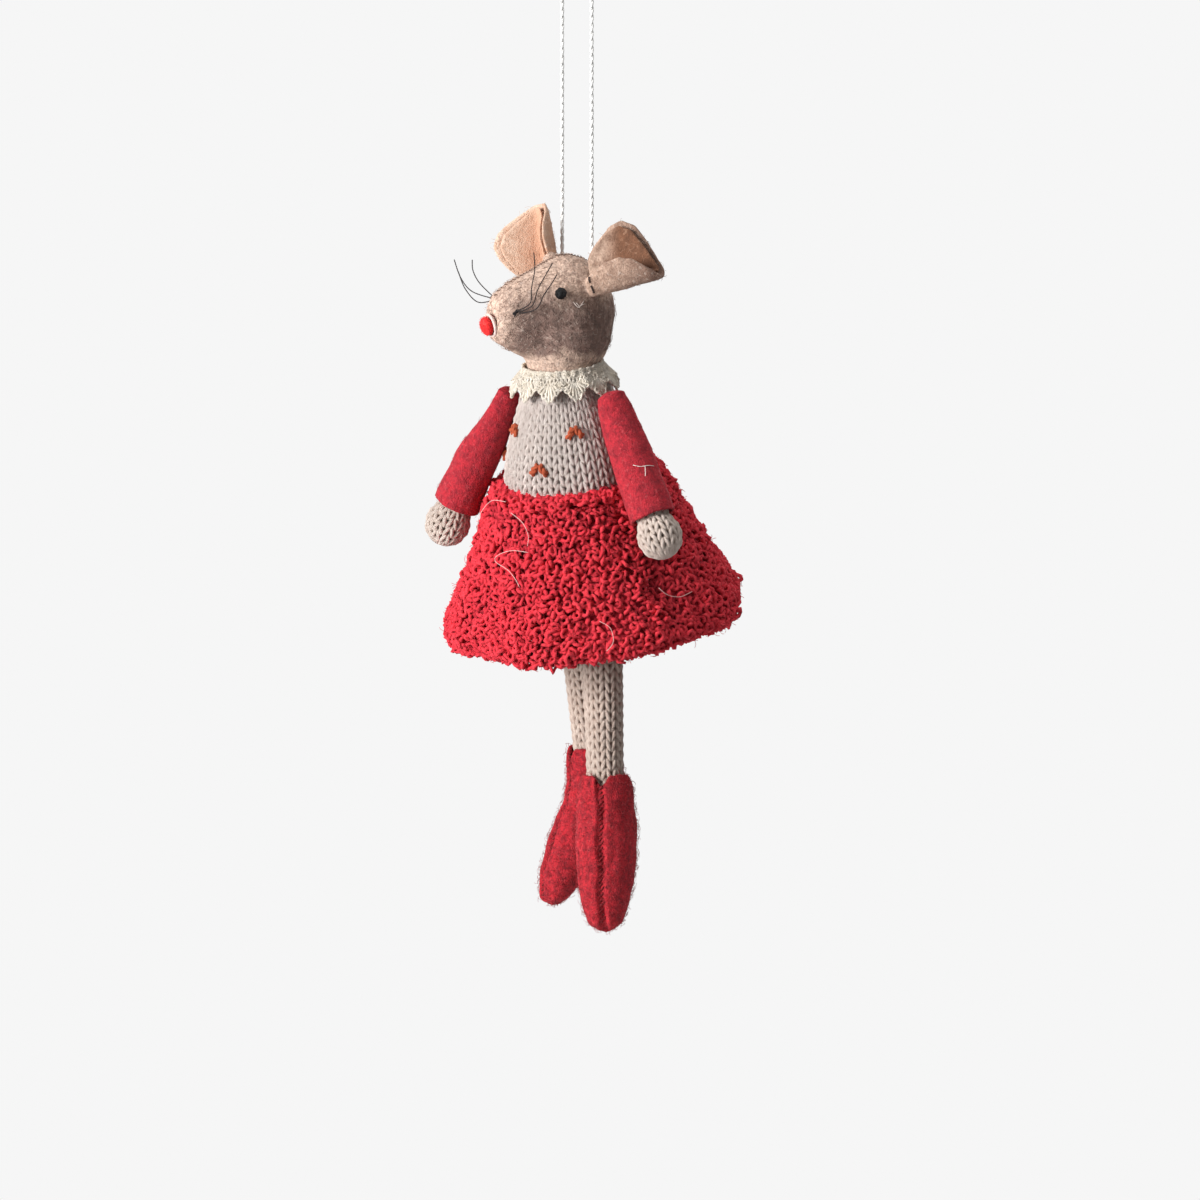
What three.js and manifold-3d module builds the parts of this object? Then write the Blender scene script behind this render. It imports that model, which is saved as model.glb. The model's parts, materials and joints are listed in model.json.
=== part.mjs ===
// A hanging mouse doll: felted head, ears and boots, knitted body, a looped-yarn skirt, red sleeves,
// and one loop of white string that carries it all. Millimetres, +Z up, the doll faces -Y and its left is +X.
// The origin is the top of the string's loop.
import * as THREE from 'three';
import { mergeVertices } from 'three/addons/utils/BufferGeometryUtils.js';
import Module from 'manifold-3d';

const wasm = await Module();
wasm.setup();

// Driving dimensions

const gap = 0.35; // between pieces that lie against each other
const overrun = 3; // how far a cutting shape runs past what it cuts
const mergeDistance = 0.001;
const smallestDetail = 0.01; // edges that a cut leaves shorter than this are closed up
const halfTurn = Math.PI;
const quarterTurn = Math.PI / 2;
const degree = Math.PI / 180;
const left = 1;
const right = -1;

const string = { diameter: 1.1, side: 9, back: 4.2, intoHead: 2.6, innerDrop: 5 };
const head = {
  centre: -93.6, turn: 32 * degree, front: 22, back: 13.6, radius: 13.6, felt: 1.3,
  seamThread: 0.7, seamGap: 0.3, neckHole: 5,
};
const ear = {
  felt: 1.1, lining: 0.7,
  left: { length: 21, width: 31, foldRadius: 3.6, curl: 1.5 },
  right: { length: 20, width: 25, foldRadius: 4.2, curl: 1.2 },
};
const eye = { radius: 1.6, forward: 5.7, up: 5.4 };
const nose = { radius: 2.45, depth: 2.5, down: 1.7, cupRadius: 2.9, cupThread: 1 };
const whisker = { thread: 0.6 };
const torso = { lean: 13 * degree, height: 50, radius: 19.1, knit: 1.2, opening: 5.6 };
const neckStitch = { radius: 7.7, thread: 0.9, lift: -0.1 };
const mark = { width: 4.6, height: 3.9, yarn: 1.5, thickness: 0.5, firstRow: 13.5, rowStep: 8.8 };
const collar = { radius: 10.4, slope: 4.6, flare: 44 * degree, point: 3, lace: 0.8, points: 12, lift: 0.8 };
const skirt = {
  top: 30.6, bottom: 70.6, waist: 20.1, hem: 39.6, pile: 3.2, topPile: 1.5, fold: 1, folds: 8, thread: 1,
};
const arm = {
  shoulderSide: 17.5, forward: 2.2, drop: 9.4, slant: 25.5 * degree, swing: 4 * degree, top: 4.6,
  sleeve: 31.5, middle: 5.8, cuff: 6.3, felt: 1, knit: 1.1, wrist: 4.1, palm: 5.8, length: 43,
};
const leg = { radius: 5.1, ankle: 4.7, knit: 1.1, belowTorso: 1.2 };
const boot = {
  length: 42.4, cuffRadius: 6.1, radius: 8.2, felt: 1.05, overlap: 12.5, heel: 1.6, notchWidth: 4.4,
  notchDepth: 3.4, seamThread: 0.8,
};

const colour = {
  string: 0xf4f4f2, felt: 0xc9ad9c, earFelt: 0xd8bca8, earLining: 0x8a5b40, wool: 0xe9e2d8, bead: 0x141414,
  nose: 0xe23a34, cup: 0xeadfd8, blackThread: 0x1c1a1c, brownThread: 0x6a4c40, knit: 0xdccdc5,
  rust: 0xb0542c, lace: 0xf3ecd9, loops: 0xc4243a, sleeve: 0xc22f3c, legKnit: 0xdfcfc2, boot: 0xbe2234,
  bootSeam: 0x8d1524,
};

// Helpers that turn three.js geometry into closed solids

function volumeOf(geometry) {
  const p = geometry.attributes.position;
  const corner = [new THREE.Vector3(), new THREE.Vector3(), new THREE.Vector3()];
  let sum = 0;
  for (let i = 0; i < geometry.index.count; i += 3) {
    corner.forEach((c, k) => c.fromBufferAttribute(p, geometry.index.getX(i + k)));
    sum += corner[0].dot(corner[1].clone().cross(corner[2]));
  }
  return sum;
}

// Shared points are merged, empty triangles are dropped, and the faces are turned outwards.
function sewn(geometry) {
  const bare = geometry.clone();
  bare.deleteAttribute('normal');
  bare.deleteAttribute('uv');
  const merged = mergeVertices(bare, mergeDistance);
  const faces = [];
  for (let i = 0; i < merged.index.count; i += 3) {
    const face = [0, 1, 2].map((k) => merged.index.getX(i + k));
    if (new Set(face).size === 3) faces.push(face);
  }
  merged.setIndex(faces.flat());
  if (volumeOf(merged) < 0) merged.setIndex(faces.map(([a, b, c]) => [b, a, c]).flat());
  return merged;
}

// Moves every point of a geometry.
function shaped(geometry, move) {
  const p = geometry.attributes.position;
  const v = new THREE.Vector3();
  for (let i = 0; i < p.count; i += 1) {
    move(v.fromBufferAttribute(p, i));
    p.setXYZ(i, v.x, v.y, v.z);
  }
  return geometry;
}

function manifold(geometry) {
  const solid = sewn(geometry);
  return new wasm.Manifold(new wasm.Mesh({
    numProp: 3,
    vertProperties: new Float32Array(solid.attributes.position.array),
    triVerts: new Uint32Array(solid.index.array),
  }));
}

function geometryOf(body) {
  const mesh = body.simplify(smallestDetail).getMesh();
  const geometry = new THREE.BufferGeometry();
  const places = new THREE.BufferAttribute(new Float32Array(mesh.vertProperties), 3);
  geometry.setAttribute('position', places);
  geometry.setIndex(Array.from(mesh.triVerts));
  return geometry;
}

function cut(geometry, ...tools) {
  return geometryOf(tools.reduce((body, tool) => body.subtract(manifold(tool)), manifold(geometry)));
}

function within(geometry, tool) {
  return geometryOf(manifold(geometry).intersect(manifold(tool)));
}

// Profiles are lists of [radius, height]. A curve goes through their points.
function curved(points, count) {
  const curve = new THREE.SplineCurve(points.map(([r, z]) => new THREE.Vector2(r, z)));
  const places = curve.getPoints(count).map((p) => [Math.max(p.x, 0), p.y]);
  const onAxis = (i) => points.at(i)[0] === 0;
  if (onAxis(0)) places[0][0] = 0;
  if (onAxis(-1)) places.at(-1)[0] = 0;
  return places;
}

// A profile that runs downwards, moved inwards by a distance.
function inset(profile, distance) {
  return profile.map(([r, z], i) => {
    const [r0, z0] = profile[Math.max(i - 1, 0)];
    const [r1, z1] = profile[Math.min(i + 1, profile.length - 1)];
    const along = new THREE.Vector2(r1 - r0, z1 - z0).normalize();
    if (r === 0) return [0, z - Math.sign(along.x) * distance];
    return [Math.max(r + along.y * distance, 0), z - along.x * distance];
  });
}

function turned(profile, segments) {
  const points = profile.map(([r, z]) => new THREE.Vector2(r, z));
  return sewn(new THREE.LatheGeometry(points, segments).rotateX(quarterTurn));
}

// A skin with an open rim. The outer profile runs from the rim down to the axis.
function skin(outer, wall, segments) {
  return turned([...outer, ...inset(outer, wall).reverse(), outer[0]], segments);
}

function roundShape(radius, sides) {
  const angles = Array.from({ length: sides }, (_, i) => (i * 2 * halfTurn) / sides);
  return new THREE.Shape(angles.map((a) => new THREE.Vector2(radius * Math.cos(a), radius * Math.sin(a))));
}

function tube(points, diameter, sides, steps) {
  const path = new THREE.CatmullRomCurve3(points.map((p) => new THREE.Vector3(...p)), false, 'centripetal');
  return sewn(new THREE.ExtrudeGeometry(roundShape(diameter / 2, sides), { steps, extrudePath: path }));
}

function ring(radius, thread, segments) {
  const sides = 6;
  const section = Array.from({ length: sides + 1 }, (_, i) => {
    const angle = ((i % sides) * 2 * halfTurn) / sides;
    return [radius + (thread / 2) * Math.cos(angle), (thread / 2) * Math.sin(angle)];
  });
  return turned(section, segments);
}

// Where a straight line from a place meets a form for the first time, and the form's direction there.
function meet(form, from, towards) {
  form.computeVertexNormals();
  const target = new THREE.Mesh(form, new THREE.MeshBasicMaterial({ side: THREE.DoubleSide }));
  const ray = new THREE.Raycaster(new THREE.Vector3(...from), new THREE.Vector3(...towards).normalize());
  const [found] = ray.intersectObject(target);
  return { place: found.point, out: found.face.normal.clone() };
}

// A turn that takes +Z to a direction.
const facing = (direction) =>
  new THREE.Quaternion().setFromUnitVectors(new THREE.Vector3(0, 0, 1), direction.clone().normalize());

function groupAt(parent, x, y, z) {
  const group = new THREE.Group();
  group.position.set(x, y, z);
  parent.add(group);
  return group;
}

function add(parent, name, geometry, tint, roughness = 0.95) {
  const material = new THREE.MeshStandardMaterial({ color: tint, roughness, metalness: 0 });
  const mesh = new THREE.Mesh(geometry, material);
  mesh.name = name;
  parent.add(mesh);
  return mesh;
}

const doll = new THREE.Group();
const sideName = (side) => (side === left ? 'left' : 'right');

// Head. Its own frame has the neck's axis as Z and the snout towards -Y.

const neckPlace = new THREE.Vector3(0, -string.back, 0)
  .applyAxisAngle(new THREE.Vector3(0, 0, 1), -head.turn);
const headGroup = groupAt(doll, neckPlace.x, neckPlace.y, head.centre);
headGroup.rotation.z = -head.turn;

const snoutShares = [[0.385, 0.93], [0.6, 0.73], [0.81, 0.39], [0.99, 0.04]];
const skullShares = [[0.95, 0.34], [0.72, 0.72], [0.38, 0.95]];
const headWidthShare = 0.95;
const headHeightShare = 1.12;
const snoutDropShare = 0.06;

function headForm(inwards) {
  const front = head.front - inwards;
  const back = head.back - inwards;
  const radius = head.radius - inwards;
  const outline = curved([
    [0, -front],
    ...snoutShares.map(([r, y]) => [r * radius, -y * front]),
    ...skullShares.map(([r, y]) => [r * radius, y * back]),
    [0, back],
  ], 12);
  const form = sewn(new THREE.LatheGeometry(outline.map(([r, y]) => new THREE.Vector2(r, y)), 20));
  return shaped(form, (v) => {
    v.x *= headWidthShare;
    v.z = v.z * headHeightShare + Math.min(v.y, 0) * snoutDropShare;
  });
}

const headOuter = headForm(0);
const headClear = headForm(-gap);
const headInner = headForm(head.felt);
const headBottom = head.radius * headHeightShare;
const nearMiddle = head.seamGap / 10; // a line exactly on the middle would pass between two faces

// The string's two runs go in beside the ears and meet as one run inside the head.
const stringEntries = [left, right].map((side) => {
  const { place } = meet(headOuter, [side * string.side, string.back, head.front], [0, 0, -1]);
  return [place.x, place.y, place.z];
});
const stringEnd = stringEntries[0][2] - string.intoHead;
const stringHoleRadius = string.diameter / 2 + 1.5 * gap;
const stringHoles = stringEntries.map(([x, y, z]) => {
  const depth = string.intoHead + gap + overrun;
  const hole = new THREE.CylinderGeometry(stringHoleRadius, stringHoleRadius, depth, 12);
  return hole.rotateX(quarterTurn).translate(x, y, z + overrun - depth / 2);
});
const innerTurnShare = 0.7;
const innerRun = [
  [string.side, string.back, stringEnd - gap],
  [string.side, string.back, stringEnd - string.innerDrop / 2],
  [string.side * innerTurnShare, string.back, stringEnd - string.innerDrop],
  [0, string.back, stringEnd - string.innerDrop],
  [-string.side * innerTurnShare, string.back, stringEnd - string.innerDrop],
  [-string.side, string.back, stringEnd - string.innerDrop / 2],
  [-string.side, string.back, stringEnd - gap],
];

const neckHole = new THREE.CylinderGeometry(head.neckHole, head.neckHole, headBottom, 16)
  .rotateX(quarterTurn).translate(0, 0, -headBottom);
const halfSpace = (side) => {
  const size = head.front + head.back + 2 * overrun;
  return new THREE.BoxGeometry(size, size, size).translate(side * (size / 2 + head.seamGap / 2), 0, 0);
};
const innerRunClear = tube(innerRun, string.diameter + 2 * gap, 8, 16);
const headShell = cut(headOuter, headInner, neckHole, innerRunClear, ...stringHoles);
for (const side of [left, right]) {
  add(headGroup, `head_${sideName(side)}_felt`, within(headShell, halfSpace(side)), colour.felt);
}
add(headGroup, 'head_stuffing', cut(headForm(head.felt + gap), innerRunClear, ...stringHoles), colour.wool);
add(headGroup, 'string_inside_head', tube(innerRun, string.diameter, 8, 16), colour.string);

// The seam's thread lies on the middle line from the nose to the back of the neck.
const seamAngles = Array.from({ length: 17 }, (_, i) => 12 + 10 * i);
const seamPoints = seamAngles.map((angle) => {
  const towards = [0, -Math.cos(angle * degree), Math.sin(angle * degree)];
  const { place, out } = meet(headOuter, [nearMiddle, 0, 0], towards);
  return place.addScaledVector(out, head.seamThread / 2 + 1.5 * gap).setX(0).toArray();
});
add(headGroup, 'crown_seam', tube(seamPoints, head.seamThread, 6, 26), colour.brownThread);

// Ears. Each is a petal folded into a cup, with a lining inside the fold.

const petalBaseShare = 0.62;
const petalWidestShare = 0.5;
const petalTipShare = 0.16;
const earSkewShare = 0.16; // how much more of the width lies on the back wall

function petalWidthShare(u) {
  if (u < petalWidestShare) {
    return petalBaseShare + (1 - petalBaseShare) * Math.sin((u / petalWidestShare) * quarterTurn);
  }
  const rest = (u - petalWidestShare) / (1 - petalWidestShare);
  return petalTipShare + (1 - petalTipShare) * Math.cos(rest * quarterTurn);
}

// across runs from the back wall to the front wall, along from the base to the tip.
function petal({ length, width, foldRadius, wallAngle, curl }, thickness, inwards) {
  return shaped(sewn(new THREE.BoxGeometry(1, 1, 1, 11, 6, 1)), (v) => {
    const u = v.y + 0.5;
    const arc = (v.x - earSkewShare) * width * petalWidthShare(u);
    const angle = THREE.MathUtils.clamp(arc / foldRadius, -wallAngle, wallAngle);
    const straight = arc - angle * foldRadius;
    const radius = foldRadius - inwards - v.z * thickness;
    v.set(
      radius * Math.sin(angle) + straight * Math.cos(wallAngle),
      u * length,
      foldRadius - radius * Math.cos(angle) + Math.abs(straight) * Math.sin(wallAngle) + curl * u * u,
    );
  });
}

// baseShares are shares of the head's radius. along and front are directions.
const ears = {
  [left]: {
    baseShares: [1.132, 0.044, 0.382], along: [0.62, 0.74, 0.2], front: [0.9, -0.44, 0.12],
    fold: { ...ear.left, wallAngle: 80 * degree },
  },
  [right]: {
    baseShares: [-0.7, 0.2, 0.63], along: [-0.26, -0.02, 0.96], front: [0.9, 0.1, 0.3],
    fold: { ...ear.right, wallAngle: 68 * degree },
  },
};

for (const side of [left, right]) {
  const { baseShares, along, front, fold } = ears[side];
  const y = new THREE.Vector3(...along).normalize();
  const z = new THREE.Vector3(...front).cross(y).normalize();
  const x = y.clone().cross(z);
  const base = new THREE.Vector3(...baseShares).multiplyScalar(head.radius);
  const place = new THREE.Matrix4().makeBasis(x, y, z).setPosition(base);
  const felt = petal(fold, ear.felt, 0).applyMatrix4(place);
  const lining = petal(
    { ...fold, width: fold.width - 2 * ear.felt, length: fold.length - ear.felt },
    ear.lining,
    ear.felt / 2 + 2 * gap + ear.lining / 2,
  ).applyMatrix4(place);
  add(headGroup, `ear_${sideName(side)}_felt`, cut(felt, headClear), colour.earFelt);
  add(headGroup, `ear_${sideName(side)}_lining`, cut(lining, headClear), colour.earLining);
}

// Face

for (const side of [left, right]) {
  const from = [side * head.front, -eye.forward, eye.up];
  const { place, out } = meet(headOuter, from, [-side, 0, 0]);
  const bead = sewn(new THREE.SphereGeometry(eye.radius, 12, 8));
  const seat = place.clone().addScaledVector(out, eye.radius + gap);
  add(headGroup, `eye_${sideName(side)}`, bead.translate(seat.x, seat.y, seat.z), colour.bead, 0.35);
}

const noseDrop = nose.down + head.front * snoutDropShare;
const snout = meet(headOuter, [nearMiddle, -2 * head.front, -noseDrop], [0, 1, 0]);
const noseShares = [[0, 0], [0.72, 0.04], [1, 0.4], [0.93, 0.72], [0.55, 0.97], [0, 1]];
const noseGroup = groupAt(headGroup, 0, snout.place.y - gap, snout.place.z);
noseGroup.quaternion.copy(facing(new THREE.Vector3(0, -1, -0.25)));
const nosePoints = noseShares.map(([r, z]) => [r * nose.radius, z * nose.depth]);
add(noseGroup, 'nose', turned(nosePoints, 16), colour.nose, 0.8);
add(headGroup, 'nose_cup', cut(
  ring(nose.cupRadius, nose.cupThread, 18).applyQuaternion(noseGroup.quaternion)
    .translate(0, snout.place.y - gap, snout.place.z),
  headClear,
), colour.cup);

// Whiskers. Places are shares of the head's radius: the root's forward and up, and then free points.
const whiskerShares = {
  [left]: [
    [[1.353, 0.066], [0.81, -1.11, 0.25], [0.92, -1.125, 0.56], [0.99, -1.09, 0.94], [1.03, -1.13, 1.265]],
    [[1.265, 0.044], [0.8, -1.06, 0.2], [0.92, -0.99, 0.53], [1.03, -0.87, 0.82], [1.1, -0.76, 1.05]],
    [[1.191, -0.02], [0.82, -0.99, 0.13], [0.93, -0.86, 0.42], [1.07, -0.76, 0.65], [1.18, -0.7, 0.83]],
  ],
  [right]: [
    [[1.39, 0.19], [-0.77, -1.6, 0.38], [-1, -1.735, 0.63], [-1.147, -1.81, 0.985]],
    [[1.32, 0.28], [-0.79, -1.43, 0.54], [-1, -1.47, 0.765], [-1.1, -1.44, 0.97]],
    [[1.28, 0.06], [-0.85, -1.44, 0.16], [-1.147, -1.57, 0.4], [-1.353, -1.62, 0.72]],
  ],
};
for (const side of [left, right]) {
  whiskerShares[side].forEach(([[forward, up], ...free], i) => {
    const from = [side * head.front, -forward * head.radius, up * head.radius];
    const { place, out } = meet(headOuter, from, [-side, 0, 0]);
    const root = place.clone().addScaledVector(out, whisker.thread / 2 + gap);
    const points = free.map((shares) => shares.map((share) => share * head.radius));
    const route = tube([root.toArray(), ...points], whisker.thread, 5, 8);
    add(headGroup, `whisker_${sideName(side)}_${i + 1}`, route, colour.blackThread);
  });
}

// String loop. Its route is in the plane of its two runs: sideways and height.

const stringRoute = [
  [9, -86.1], [9, -80], [9, -72], [9, -62], [9, -50], [9, -38], [9, -26], [9, -16], [9, -11],
  [8.63, -7], [7.42, -4.4], [5.2, -2.1], [2.7, -0.9], [0, -0.55],
  [-2.7, -0.9], [-5.2, -2.1], [-7.42, -4.4], [-8.63, -7],
  [-9, -11], [-9, -16], [-9, -26], [-9, -38], [-9, -50], [-9, -62], [-9, -72], [-9, -80], [-9, -86.1],
];
const stringGroup = groupAt(doll, 0, 0, 0);
stringGroup.rotation.z = -head.turn;
const stringPoints = stringRoute.map(([x, z]) => [x, 0, z]);
add(stringGroup, 'hanging_string', tube(stringPoints, string.diameter, 8, 64), colour.string);

// Torso. Its frame leans back from the neck, with -Z down the doll's middle.

const torsoTop = head.centre - headBottom - gap;
const torsoGroup = groupAt(doll, neckPlace.x, neckPlace.y, torsoTop);
torsoGroup.rotation.x = torso.lean;

const torsoShares = [
  [0.42, 0.016], [0.55, 0.06], [0.62, 0.13], [0.71, 0.22], [0.85, 0.36], [0.96, 0.52], [1, 0.66],
  [0.98, 0.79], [0.84, 0.9], [0.5, 0.98], [0, 1],
];
const torsoProfile = curved([
  [torso.opening, 0],
  ...torsoShares.map(([r, d]) => [r * torso.radius, -d * torso.height]),
], 14);
const torsoDepthShare = 1.06;
const deeper = (geometry) => shaped(geometry, (v) => { v.y *= torsoDepthShare; });
const torsoForm = deeper(turned([[0, 0], ...torsoProfile], 24));
add(torsoGroup, 'torso_knit', deeper(skin(torsoProfile, torso.knit, 24)), colour.knit);
const torsoFill = [[0, -gap], ...inset(torsoProfile, torso.knit + gap)];
add(torsoGroup, 'torso_stuffing', deeper(turned(torsoFill, 16)), colour.wool);

const stitchGroup = groupAt(torsoGroup, 0, 0, neckStitch.thread / 2 + neckStitch.lift);
add(stitchGroup, 'neck_stitching', ring(neckStitch.radius, neckStitch.thread, 20), colour.wool);

// The rust-coloured marks stand on the knit in staggered rows round the front and sides.
function chevron() {
  const w = mark.width / 2;
  const h = mark.height / 2;
  const innerTop = h - mark.yarn * 1.3;
  const outline = [[-w, -h], [0, h], [w, -h], [w - mark.yarn, -h], [0, innerTop], [mark.yarn - w, -h]];
  const shape = new THREE.Shape(outline.map(([x, y]) => new THREE.Vector2(x, y)));
  return sewn(new THREE.ExtrudeGeometry(shape, { depth: mark.thickness, bevelEnabled: false }));
}
const markAngles = [[36, -36, 108, 180], [2, 74, 146, -70]];
markAngles.forEach((angles, row) => angles.forEach((angle, i) => {
  const direction = [Math.sin(angle * degree), -Math.cos(angle * degree), 0];
  const height = -mark.firstRow - row * mark.rowStep;
  const { place, out } = meet(torsoForm, [0, 0, height], direction);
  const seat = place.addScaledVector(out, gap);
  const up = new THREE.Vector3(0, 0, 1).projectOnPlane(out).normalize();
  const basis = new THREE.Matrix4().makeBasis(up.clone().cross(out), up, out).setPosition(seat);
  add(torsoGroup, `rust_mark_${row + 1}_${i + 1}`, chevron().applyMatrix4(basis), colour.rust);
}));

// Lace collar: a cone on the shoulders with a pointed edge. It leans less than the torso below it.
const collarLeanShare = 0.7;
const collarSpreadShare = 0.4; // how much a point also stands out as it drops
const collarPhase = 15 * degree;
const collarGroup = groupAt(doll, neckPlace.x, neckPlace.y, torsoTop + collar.lift);
collarGroup.rotation.x = torso.lean * collarLeanShare;

function collarForm() {
  const rows = 4;
  const [outwards, down] = [Math.sin(collar.flare), Math.cos(collar.flare)];
  const lineAt = (offset) => Array.from({ length: rows }, (_, i) => {
    const along = (i * collar.slope) / (rows - 1);
    return [collar.radius + along * outwards + offset * down, -along * down + offset * outwards];
  });
  const outer = lineAt(collar.lace);
  const section = [...outer, ...lineAt(0).reverse(), outer[0]];
  return shaped(turned(section, collar.points * 4), (v) => {
    const radius = Math.hypot(v.x, v.y);
    const share = THREE.MathUtils.clamp((radius - collar.radius) / (collar.slope * outwards), 0, 1);
    const wave = Math.cos((Math.atan2(v.x, -v.y) - collarPhase) * collar.points) / 2 + 0.5;
    const drop = collar.point * wave * share * share;
    const scale = (radius + drop * outwards * collarSpreadShare) / radius;
    v.set(v.x * scale, v.y * scale, v.z - drop);
  });
}
add(collarGroup, 'lace_collar', collarForm(), colour.lace);

// Skirt: a bell of looped cloth that rounds in at the hem, with soft folds that grow towards it.
// The shares are of the way from waist to hem, and of the drop from top to bottom.
const skirtShares = [
  [0, 0], [0.13, 0.05], [0.21, 0.13], [0.29, 0.25], [0.4, 0.38], [0.58, 0.54], [0.8, 0.72],
  [0.96, 0.86], [1, 0.93], [0.93, 1],
];
const skirtDrop = skirt.bottom - skirt.top;
const pileAt = (share) => THREE.MathUtils.lerp(skirt.topPile, skirt.pile, Math.min(share / 0.25, 1));
const skirtOuter = skirtShares.map(([r, d]) => [
  THREE.MathUtils.lerp(skirt.waist + skirt.topPile, skirt.hem, r), -skirt.top - d * skirtDrop,
]);
const skirtInner = skirtOuter.slice(0, -1).map(([r, z], i) => [
  Math.max(r - pileAt(skirtShares[i][1]), skirt.waist), z,
]);
const [hemRadius, hemHeight] = skirtOuter.at(-1);
const hemInside = [hemRadius - skirt.pile / 2, hemHeight];
const skirtSection = [...skirtOuter, hemInside, ...skirtInner.reverse(), skirtOuter[0]];
const longFold = { share: 0.35, fewer: 3, phase: 2 };
const foldPhase = 0.7;
const skirtForm = shaped(turned(skirtSection, skirt.folds * 6), (v) => {
  const share = THREE.MathUtils.clamp((-skirt.top - v.z) / skirtDrop, 0, 1);
  const angle = Math.atan2(v.y, v.x);
  const wave = Math.sin(angle * skirt.folds + foldPhase)
    + longFold.share * Math.sin(angle * (skirt.folds - longFold.fewer) + longFold.phase);
  const radius = Math.hypot(v.x, v.y);
  const scale = (radius + skirt.fold * wave * share * share) / radius;
  const depth = THREE.MathUtils.lerp(torsoDepthShare, 1, share);
  v.set(v.x * scale, v.y * scale * depth, v.z);
});
add(torsoGroup, 'skirt', skirtForm, colour.loops);
const waistSeam = deeper(ring(skirt.waist + skirt.thread, skirt.thread, 26));
add(torsoGroup, 'waist_seam', waistSeam.translate(0, 0, -skirt.top + skirt.thread), colour.bootSeam);

// Arms. Each hangs from its shoulder, slanting out, with the hand resting on the skirt.

const shoulderShares = [[0, 1], [0.7, 0.72], [1, 0]]; // of the sleeve's radius at the top
const sleeveShares = { middle: 0.45, wrist: 0.72 }; // of the sleeve's length

function buildArm(side) {
  const name = sideName(side);
  const group = groupAt(
    doll,
    neckPlace.x + side * arm.shoulderSide,
    neckPlace.y - arm.forward,
    torsoTop - arm.drop,
  );
  group.rotation.set(-arm.swing, side * -arm.slant, 0, 'YXZ');
  const sleeveOuter = [
    ...curved(shoulderShares.map(([r, z]) => [r * arm.top, z * arm.top]), 4),
    ...curved([[arm.top, 0], [arm.middle, -arm.sleeve * sleeveShares.middle], [arm.cuff, -arm.sleeve]], 5)
      .slice(1),
  ];
  const sleeve = turned([...sleeveOuter, ...inset(sleeveOuter, arm.felt).reverse()], 18);
  add(group, `sleeve_${name}`, sleeve, colour.sleeve);

  const handTop = -arm.sleeve * sleeveShares.wrist;
  const palmHeight = arm.length - arm.palm;
  const palmShares = [[0.93, -0.4], [1, 0], [0.74, 0.68]];
  const handOuter = curved([
    [arm.wrist, handTop],
    [arm.wrist, -arm.sleeve],
    ...palmShares.map(([r, z]) => [r * arm.palm, -palmHeight - z * arm.palm]),
    [0, -arm.length],
  ], 9);
  add(group, `hand_${name}`, skin(handOuter, arm.knit, 16), colour.knit);

  const fillShares = [[0, 0.62], [0.62, 0.45], [0.9, -0.4]];
  const palmFillShare = 0.9;
  const inner = arm.wrist - arm.knit - gap;
  const fill = curved([
    ...fillShares.map(([r, z]) => [r * (arm.top - arm.felt - gap), z * arm.top]),
    [inner, handTop + arm.palm],
    [inner, -arm.sleeve],
    [palmFillShare * (arm.palm - arm.knit - gap), -palmHeight],
    [0, -arm.length + arm.knit + gap],
  ], 12);
  add(group, `arm_stuffing_${name}`, turned(fill, 12), colour.wool);
}
buildArm(left);
buildArm(right);

// Legs. Each is a knitted tube that ends inside a felted boot with its toe hanging down. The soft tubes hang
// at their own stretched lengths.

const legPoses = {
  [left]: {
    side: 7.3, back: 7.4, lift: 2.5, length: 67.3, swing: -3 * degree, splay: 3.3 * degree, toe: 8 * degree,
    toeOut: 22 * degree,
  },
  [right]: {
    side: 6.4, back: 15.2, lift: 3.8, length: 63.6, swing: 9 * degree, splay: -1 * degree, toe: 28 * degree,
    toeOut: 38 * degree,
  },
};
const hipShares = [[0, 0.9], [0.72, 0.6], [1, 0]]; // of the leg's radius
const bootShares = [[0.86, 0.06], [0.94, 0.2], [1, 0.42], [0.95, 0.62], [0.8, 0.8], [0.5, 0.95], [0, 1]];
const bootSeamShares = [0.16, 0.26, 0.36, 0.46, 0.56, 0.66, 0.76, 0.86, 0.93];
const heelPlaceShare = 0.45;
const heelSpreadShare = 0.17;

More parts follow.
